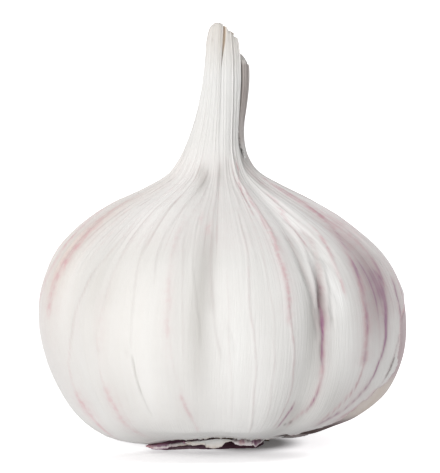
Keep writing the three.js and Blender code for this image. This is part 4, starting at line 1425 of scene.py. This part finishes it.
def make_floor():
    """A pale table with a glow of its own, cut back by painted shadows where the bulb stands on it."""
    deselect_all()
    bpy.ops.mesh.primitive_plane_add(size=8, location=(0, 0, 0))
    floor = bpy.context.object
    floor.name = "studio_floor"
    material = bpy.data.materials.new("white_floor")
    material.use_nodes = True
    tree = material.node_tree
    shader = tree.nodes["Principled BSDF"]
    shader.inputs["Roughness"].default_value = 0.7
    place = tree.nodes.new("ShaderNodeTexCoord").outputs["Object"]
    cloud = remap(tree, noise(tree, place, 30, 2.0), 0.3, 0.7)
    colour = mixed(tree, cloud, (0.80, 0.795, 0.80), (0.82, 0.815, 0.82))
    tree.links.new(colour, shader.inputs["Base Color"])
    glow = FLOOR_GLOW
    # Painted shadows: the glow is cut back in set hollows round the bulb's foot.
    for centre, half_widths, end, depth in PAINTED_FLOOR_SHADOWS:
        scaled = tree.nodes.new("ShaderNodeMapping")
        scaled.vector_type = "TEXTURE"
        scaled.inputs["Location"].default_value = (centre[0] * MM, centre[1] * MM, 0)
        scaled.inputs["Scale"].default_value = (half_widths[0] * MM, half_widths[1] * MM, 1)
        tree.links.new(place, scaled.inputs["Vector"])
        away = tree.nodes.new("ShaderNodeVectorMath")
        away.operation = "LENGTH"
        tree.links.new(scaled.outputs["Vector"], away.inputs[0])
        glow = maths(tree, "SUBTRACT", glow, remap(tree, away.outputs["Value"], 0.9, end, depth, 0))
    path = tree.nodes.new("ShaderNodeLightPath")
    seen = remap(tree, path.outputs["Is Camera Ray"], 0, 1, GLOW_AS_LIGHT, 1)
    shown = maths(tree, "MULTIPLY", maths(tree, "MAXIMUM", glow, 0.0), seen)
    glow_colour = mixed(tree, shown, (0.0, 0.0, 0.0), (1.0, 0.99, 1.0))
    tree.links.new(glow_colour, shader.inputs["Emission Color"])
    shader.inputs["Emission Strength"].default_value = 1.0
    floor.data.materials.append(material)


# Lights: the direction they come from, how wide they are in degrees, and their power.
KEY_LIGHT = ((-0.5, -0.84, 0.38), 46, 1.79)
RIM_LIGHT = ((0.6, 0.75, 0.3), 45, 0.55)
WORLD_LIGHTING, WORLD_SHOWN = 0.62, 1.2


def add_sun(name, direction, softness, power):
    """A wide soft light that comes from a direction and falls evenly on everything."""
    lamp = bpy.data.lights.new(name, "SUN")
    lamp.angle = np.radians(softness)
    lamp.energy = power
    light = bpy.data.objects.new(name, lamp)
    bpy.context.collection.objects.link(light)
    light.location = direction
    light.rotation_euler = (-Vector(direction)).to_track_quat("-Z", "Y").to_euler()


def make_world():
    """An even white surrounding, brighter to the eye than as a source of light."""
    world = bpy.data.worlds.new("white_room")
    bpy.context.scene.world = world
    world.use_nodes = True
    tree = world.node_tree
    back = tree.nodes["Background"]
    path = tree.nodes.new("ShaderNodeLightPath")
    strength = remap(tree, path.outputs["Is Camera Ray"], 0, 1, WORLD_LIGHTING, WORLD_SHOWN)
    tree.links.new(strength, back.inputs["Strength"])
    back.inputs["Color"].default_value = (1, 1, 1, 1)


CAMERA_TARGET = (-0.41, 0.0, 33.5)
CAMERA_DISTANCE = 470.0
CAMERA_RISE = 6.0
CAMERA_LENS = 220.0
SENSOR_WIDTH = 36


def place_camera():
    """Sets the camera in front of the bulb, a little above it, looking at its middle."""
    data = bpy.data.cameras.new("camera")
    data.lens = CAMERA_LENS
    data.sensor_width = SENSOR_WIDTH
    data.clip_start = 0.01
    camera = bpy.data.objects.new("camera", data)
    bpy.context.collection.objects.link(camera)
    rise = np.radians(CAMERA_RISE)
    away = np.array([0, -np.cos(rise), np.sin(rise)]) * CAMERA_DISTANCE
    camera.location = (np.array(CAMERA_TARGET) + away) * MM
    camera.rotation_euler = (np.pi / 2 - rise, 0, 0)
    bpy.context.scene.camera = camera


make_floor()
make_world()
add_sun("key", *KEY_LIGHT)
add_sun("rim", *RIM_LIGHT)
place_camera()
bpy.context.scene.view_settings.view_transform = "Standard"
